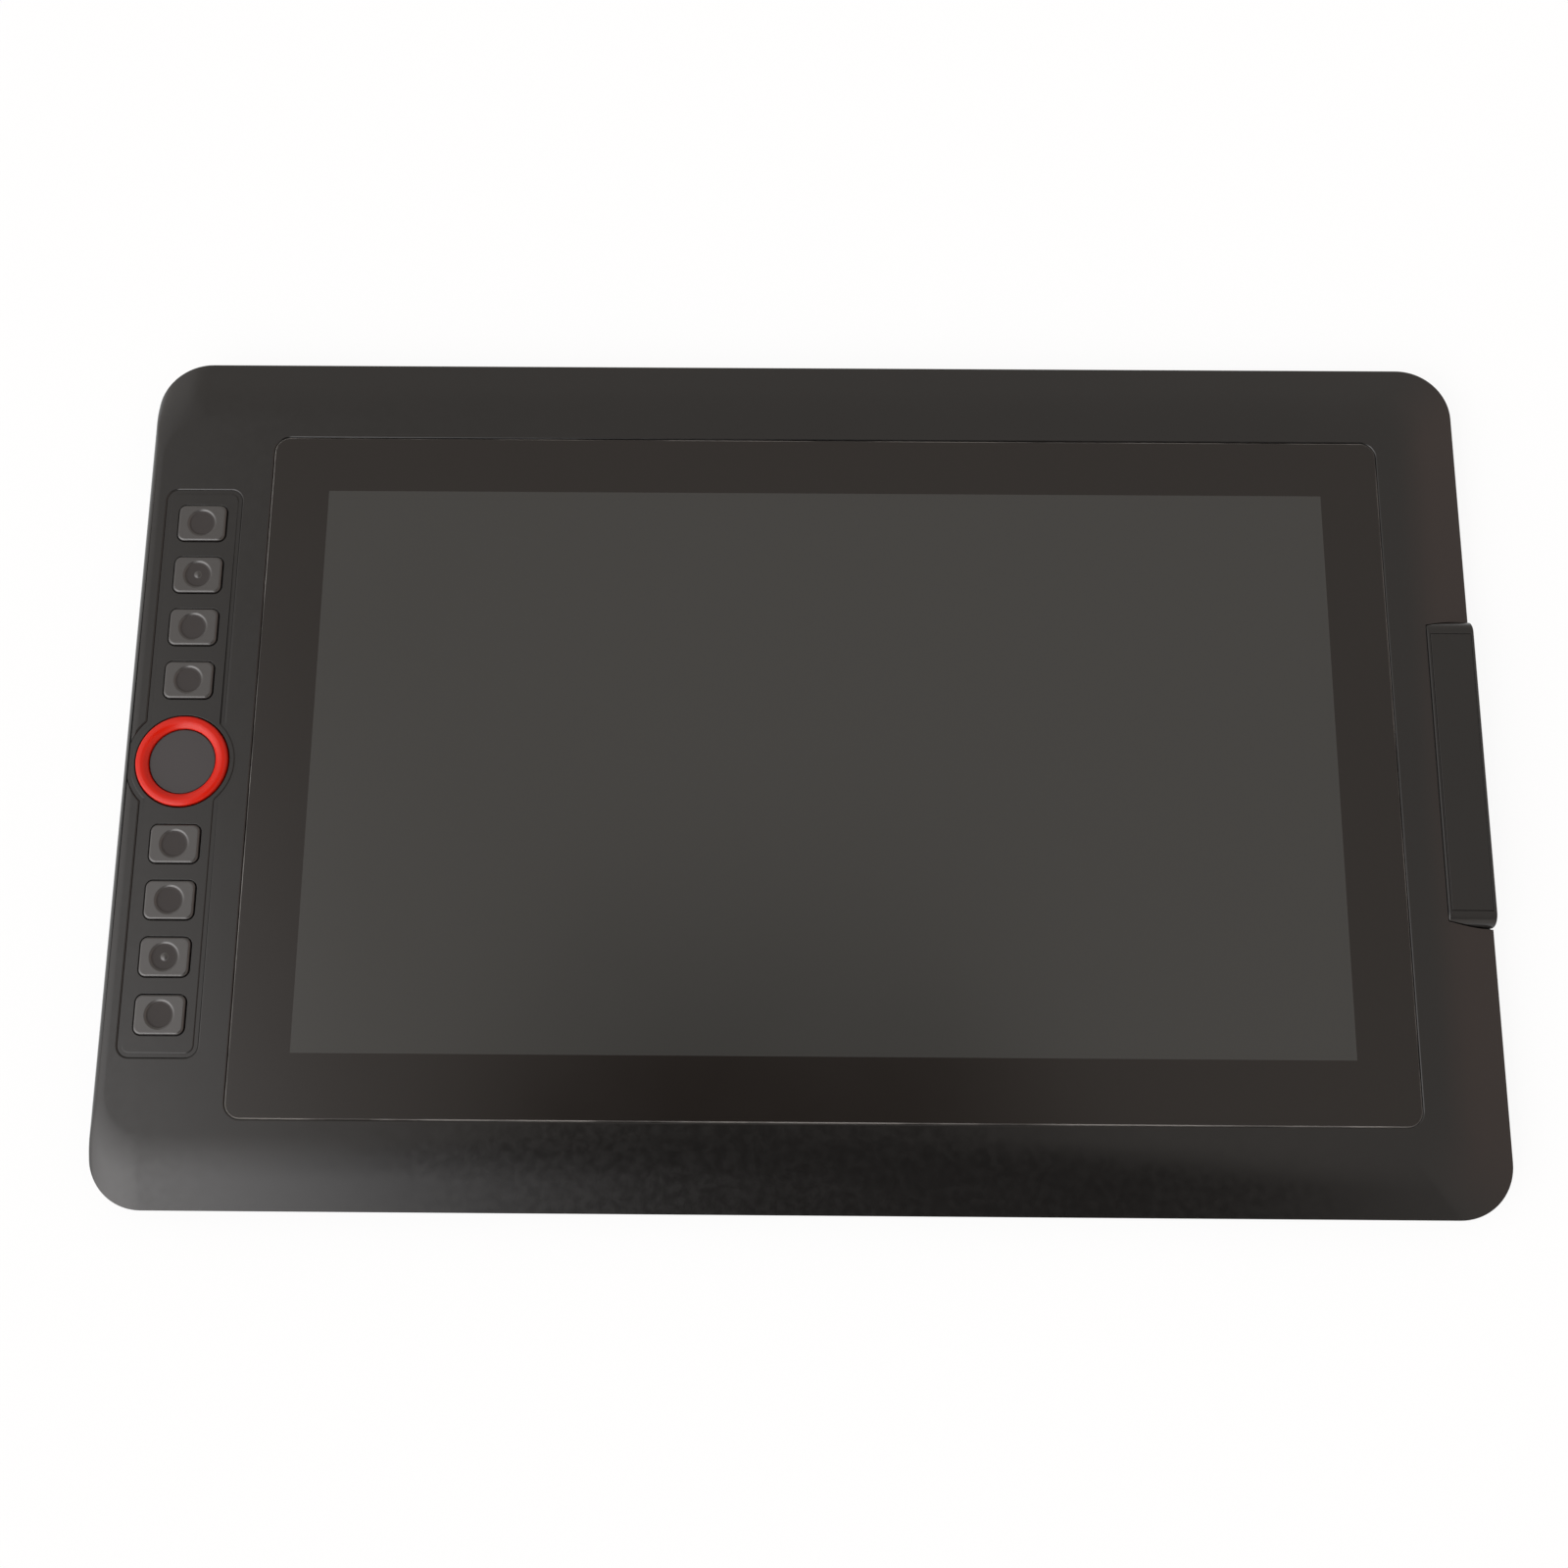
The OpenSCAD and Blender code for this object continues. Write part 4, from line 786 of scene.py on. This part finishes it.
# Port tab
# A separate black moulding let into the right edge, hollow inside, with rounded ends and a fine
# line round its top. Its outer face has the openings for the socket, the button and the indicator.
def bar(name, x0, x1, y, z, length, height, steps=10):
    bpy.ops.object.select_all(action="DESELECT")
    bpy.ops.mesh.primitive_cube_add(size=1, enter_editmode=True)
    piece = bpy.context.object
    piece.name = piece.data.name = name
    bpy.ops.transform.resize(value=((x1 - x0) * MM, length * MM, height * MM), center_override=(0, 0, 0))
    bpy.ops.transform.translate(value=((x0 + x1) / 2 * MM, y * MM, z * MM))
    choose(piece, lambda e: abs(e.verts[0].co.x - e.verts[1].co.x) > 1e-6)
    bpy.ops.mesh.bevel(offset=height * 0.4995 * MM, segments=steps, affect="EDGES")
    return close_up(piece)


socket_y, socket_z = -14, 9.7
button_y, button_z = 14, 9.9
lamp_y = 26
tab_rims = ((tab_x0, 0.5), (tab_x1, 0.35))
tab_rim_z = 9
line_steps = ((0.3, 0), (0.16, -0.16), (0.16, 0.16))
tab_wall = 1.6
tab_end_wall = 2.4
hollow_z = (6, 11.6)
hollow_r = 3
opening_reach = 3
opening_sizes = ((socket_y, socket_z, 9.24, 3.56), (button_y, button_z, 9.4, 2.8),
                 (lamp_y, button_z, 1.65, 1.64))
opening_half_y = 28
opening_z = (7.8, 11.7)
opening_round = 0.15
tab = tab_block("tab", tab_x0, tab_x1, tab_half, seam_z, front_z, rim_drop)
for side, width in tab_rims:
    soften(tab, lambda e: all(abs(v.co.x - side * MM) < 1e-6 and v.co.z > tab_rim_z * MM for v in e.verts),
           width, 4)
edit(tab)
choose(tab, lambda f: f.normal.z > 0.999 and f.calc_area() > 5e-4, "faces")
for inset, rise in line_steps:
    bpy.ops.mesh.inset(thickness=inset * MM)
    bpy.ops.transform.translate(value=(0, 0, rise * MM))
bpy.ops.object.mode_set(mode="OBJECT")
carve(tab, tab_block("tab_hollow", tab_x0 + tab_wall, tab_x1 - tab_wall, tab_half - tab_end_wall,
                     *hollow_z, hollow_r))
openings = [bar("opening", tab_x1 - opening_reach, tab_x1 + opening_reach, *size) for size in opening_sizes]
carve(tab, join("openings", openings))


def opening_rim(edge):
    outer = all(abs(v.co.x - tab_x1 * MM) < 1e-6 and abs(v.co.y) < opening_half_y * MM for v in edge.verts)
    between = all(opening_z[0] * MM < v.co.z < opening_z[1] * MM for v in edge.verts)
    return outer and between and edge.calc_face_angle(0) > 1.2


soften(tab, opening_rim, opening_round, 2)
smooth(tab, 30)
tab.data.materials.append(case_black)
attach(tab, "tablet")
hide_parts("port_housing")

# Data socket
# A drawn steel shell with a flat tongue inside that carries two rows of gold contacts. It is
# soldered to the port board, and its mouth lies just inside the tab's outer face.
socket_face = 194.9
shell_length = 7.4
shell_size = (8.94, 3.26)
shell_thick = 0.3
shell_depth = 6.6
shell_round = 0.08
tongue_size = (5.8, 6.6, 0.7)
tongue_tip_x = 192
tongue_round = 0.18
contacts_per_metre = 2000
shell = bar("shell", socket_face - shell_length, socket_face, socket_y, socket_z, *shell_size)
edit(shell)
choose(shell, lambda f: f.normal.x > 0.9, "faces")
bpy.ops.mesh.inset(thickness=shell_thick * MM)
bpy.ops.mesh.extrude_region_move(TRANSFORM_OT_translate={"value": (-shell_depth * MM, 0, 0)})
close_up(shell)
soften(shell, lambda e: all(abs(v.co.x - socket_face * MM) < 1e-6 for v in e.verts)
       and e.calc_face_angle(0) > 1, shell_round, 2)
smooth(shell, 40)
socket_steel = worn_metal("socket_steel", (0.52, 0.52, 0.53), (0.66, 0.66, 0.67), 0.28, (300, 5000, 5000))
shell.data.materials.append(socket_steel)
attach(shell, "tablet")
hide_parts("usb_shell")

bpy.ops.object.select_all(action="DESELECT")
bpy.ops.mesh.primitive_cube_add(size=1, enter_editmode=True)
tongue = bpy.context.object
tongue.name = tongue.data.name = "tongue"
bpy.ops.transform.resize(value=[side * MM for side in tongue_size], center_override=(0, 0, 0))
tongue_x = socket_face - shell_depth + tongue_size[0] / 2
bpy.ops.transform.translate(value=(tongue_x * MM, socket_y * MM, socket_z * MM))
choose(tongue, lambda e: any(v.co.x > tongue_tip_x * MM for v in e.verts))
bpy.ops.mesh.bevel(offset=tongue_round * MM, segments=3, affect="EDGES")
close_up(tongue)
smooth(tongue, 40)
contact_rows, nodes, links, shader, place = new_material("contact_rows")
shader.inputs["Roughness"].default_value = 0.35
axes = nodes.new("ShaderNodeSeparateXYZ")
links.new(place, axes.inputs["Vector"])
steps_along = add_maths(nodes, links, "MULTIPLY", axes.outputs["Y"], contacts_per_metre)
steps_along = add_maths(nodes, links, "FRACT", steps_along)
gold_lines = add_maths(nodes, links, "GREATER_THAN", steps_along, 0.5)
tongue_black, contact_gold = (0.012, 0.012, 0.012), (0.62, 0.42, 0.14)
links.new(add_mix(nodes, links, gold_lines, tongue_black, contact_gold), shader.inputs["Base Color"])
links.new(gold_lines, shader.inputs["Metallic"])
tongue.data.materials.append(contact_rows)
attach(tongue, "tablet")
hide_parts("usb_tongue")

# Power button
# A small pill of grey plastic in the tab's outer face, with rounded edges and a flange behind the
# wall, pressed inwards against its switch.
button_x = (192.5, 194.8)
button_size = (9, 2.4)
button_round = 0.3
button_flange_x = (192.4, 193.3)
button_flange_size = (10.6, 3.1)
button = bar("button", *button_x, button_y, button_z, *button_size)
soften(button, lambda e: all(v.co.x > (button_x[1] - 0.1) * MM for v in e.verts), button_round, 4)
button_flange = bar("button_flange", *button_flange_x, button_y, button_z, *button_flange_size)
carve(button, button_flange, "UNION")
smooth(button, 40)
button.data.materials.append(key_grey)
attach(button, "power_body")
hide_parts("power_button")

# Indicator
# A short light pipe of milky acrylic, moulded with a domed end. It is pressed into a hole in the
# tab's outer wall, in front of the lamp on the port board.
lens_x = (192.6, 194.9)
lens_size = (1.6, 1.598)
lens_round = 0.35
lens = bar("lens", *lens_x, lamp_y, button_z, *lens_size)
soften(lens, lambda e: all(v.co.x > (lens_x[1] - 0.1) * MM for v in e.verts), lens_round, 5)
smooth(lens, 40)
lens_milk = moulded_plastic("lens_milk", (0.6, 0.62, 0.64), (0.7, 0.72, 0.74), 0.25, grain=1)
lens.data.materials.append(lens_milk)
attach(lens, "tablet")
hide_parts("indicator_lens")

# Table top, light and camera
# A plain white table in a pale room with a bright window on the left and a dark near side, and a
# camera that looks down from above the near edge. The camera itself sees plain white behind it all.
table_size = 8
table_colour = (0.85, 0.85, 0.85, 1)
table_glow = 0.9
camera_place = (-0.00247, -0.11483, 0.4929)
camera_turn = (0.2239, 0.0036, 0.0075)
camera_lens = 39.65
camera_sensor = 36
bpy.ops.object.select_all(action="DESELECT")
bpy.ops.mesh.primitive_plane_add(size=table_size, enter_editmode=True)
table_top = bpy.context.object
table_top.name = "table_top"
bpy.ops.mesh.subdivide(number_cuts=4)
bpy.ops.object.mode_set(mode="OBJECT")
table_white = bpy.data.materials.new("table_white")
table_white.use_nodes = True
nodes, links = table_white.node_tree.nodes, table_white.node_tree.links
nodes.remove(nodes["Principled BSDF"])
matt = nodes.new("ShaderNodeBsdfDiffuse")
matt.inputs["Color"].default_value = table_colour
glow = nodes.new("ShaderNodeEmission")
path = nodes.new("ShaderNodeLightPath")
seen = add_maths(nodes, links, "MAXIMUM", path.outputs["Is Camera Ray"], path.outputs["Is Glossy Ray"])
seen = add_maths(nodes, links, "MAXIMUM", seen, path.outputs["Is Transmission Ray"])
blend = nodes.new("ShaderNodeMixShader")
links.new(add_maths(nodes, links, "MULTIPLY", seen, table_glow), blend.inputs["Fac"])
links.new(matt.outputs["BSDF"], blend.inputs[1])
links.new(glow.outputs["Emission"], blend.inputs[2])
links.new(blend.outputs["Shader"], nodes["Material Output"].inputs["Surface"])
table_top.data.materials.append(table_white)

room = bpy.data.worlds.new("room")
bpy.context.scene.world = room
room.use_nodes = True
nodes, links = room.node_tree.nodes, room.node_tree.links
axes = nodes.new("ShaderNodeSeparateXYZ")
links.new(nodes.new("ShaderNodeTexCoord").outputs["Generated"], axes.inputs["Vector"])
right, far = axes.outputs["X"], axes.outputs["Y"]

# The walls: pale on both sides and at the far side, with a dark gap overhead and a low near strip
across = add_maths(nodes, links, "ABSOLUTE", add_maths(nodes, links, "ADD", right, 0.015))
aside = add_maths(nodes, links, "ADD", across, add_maths(nodes, links, "MULTIPLY", far, 0.33))
wall = add_range(nodes, links, aside, 0, 0.64, 0.14, 0.175)
wall = add_maths(nodes, links, "MAXIMUM", wall, add_range(nodes, links, far, 0, 0.64, 0.06, 0.2))
wall = add_maths(nodes, links, "MAXIMUM", wall, add_range(nodes, links, far, 0.9, 0, -0.8, -0.62))

# The window: brighter towards the left, dimmer towards the far side and low down
leftward = add_maths(nodes, links, "ADD", right, add_maths(nodes, links, "MULTIPLY", far, 0.25))
window = add_maths(nodes, links, "POWER", add_range(nodes, links, leftward, 0, 2.25, -0.175, -0.52), 2)
window = add_maths(nodes, links, "MINIMUM", window, add_range(nodes, links, far, 3.5, 0.4, -0.43, 0.3))
height = add_range(nodes, links, axes.outputs["Z"], 0.45, 1, 0, 0.6)
window = add_maths(nodes, links, "MULTIPLY", window, height)

# The wall's light is warmer on the right, and only the camera sees plain white instead of the room
wall_light = nodes["Background"]
window_light = nodes.new("ShaderNodeBackground")
plain_white = nodes.new("ShaderNodeBackground")
sunlit = add_range(nodes, links, right, 0, 1, 0.42, 0.68)
links.new(add_mix(nodes, links, sunlit, (1, 0.93, 0.86), (1.32, 1.06, 0.95)), wall_light.inputs["Color"])
window_light.inputs["Color"].default_value = (1, 0.985, 0.995, 1)
plain_white.inputs["Color"].default_value = (1, 1, 1, 1)
links.new(wall, wall_light.inputs["Strength"])
links.new(window, window_light.inputs["Strength"])
room_light = nodes.new("ShaderNodeAddShader")
links.new(wall_light.outputs["Background"], room_light.inputs[0])
links.new(window_light.outputs["Background"], room_light.inputs[1])
path = nodes.new("ShaderNodeLightPath")
blend = nodes.new("ShaderNodeMixShader")
links.new(path.outputs["Is Camera Ray"], blend.inputs["Fac"])
links.new(room_light.outputs["Shader"], blend.inputs[1])
links.new(plain_white.outputs["Background"], blend.inputs[2])
links.new(blend.outputs["Shader"], nodes["World Output"].inputs["Surface"])

bpy.ops.object.camera_add(location=camera_place, rotation=camera_turn)
camera = bpy.context.object
camera.data.sensor_width = camera_sensor
camera.data.lens = camera_lens
camera.data.clip_start = 0.01
bpy.context.scene.camera = camera
bpy.context.scene.view_settings.view_transform = "Standard"
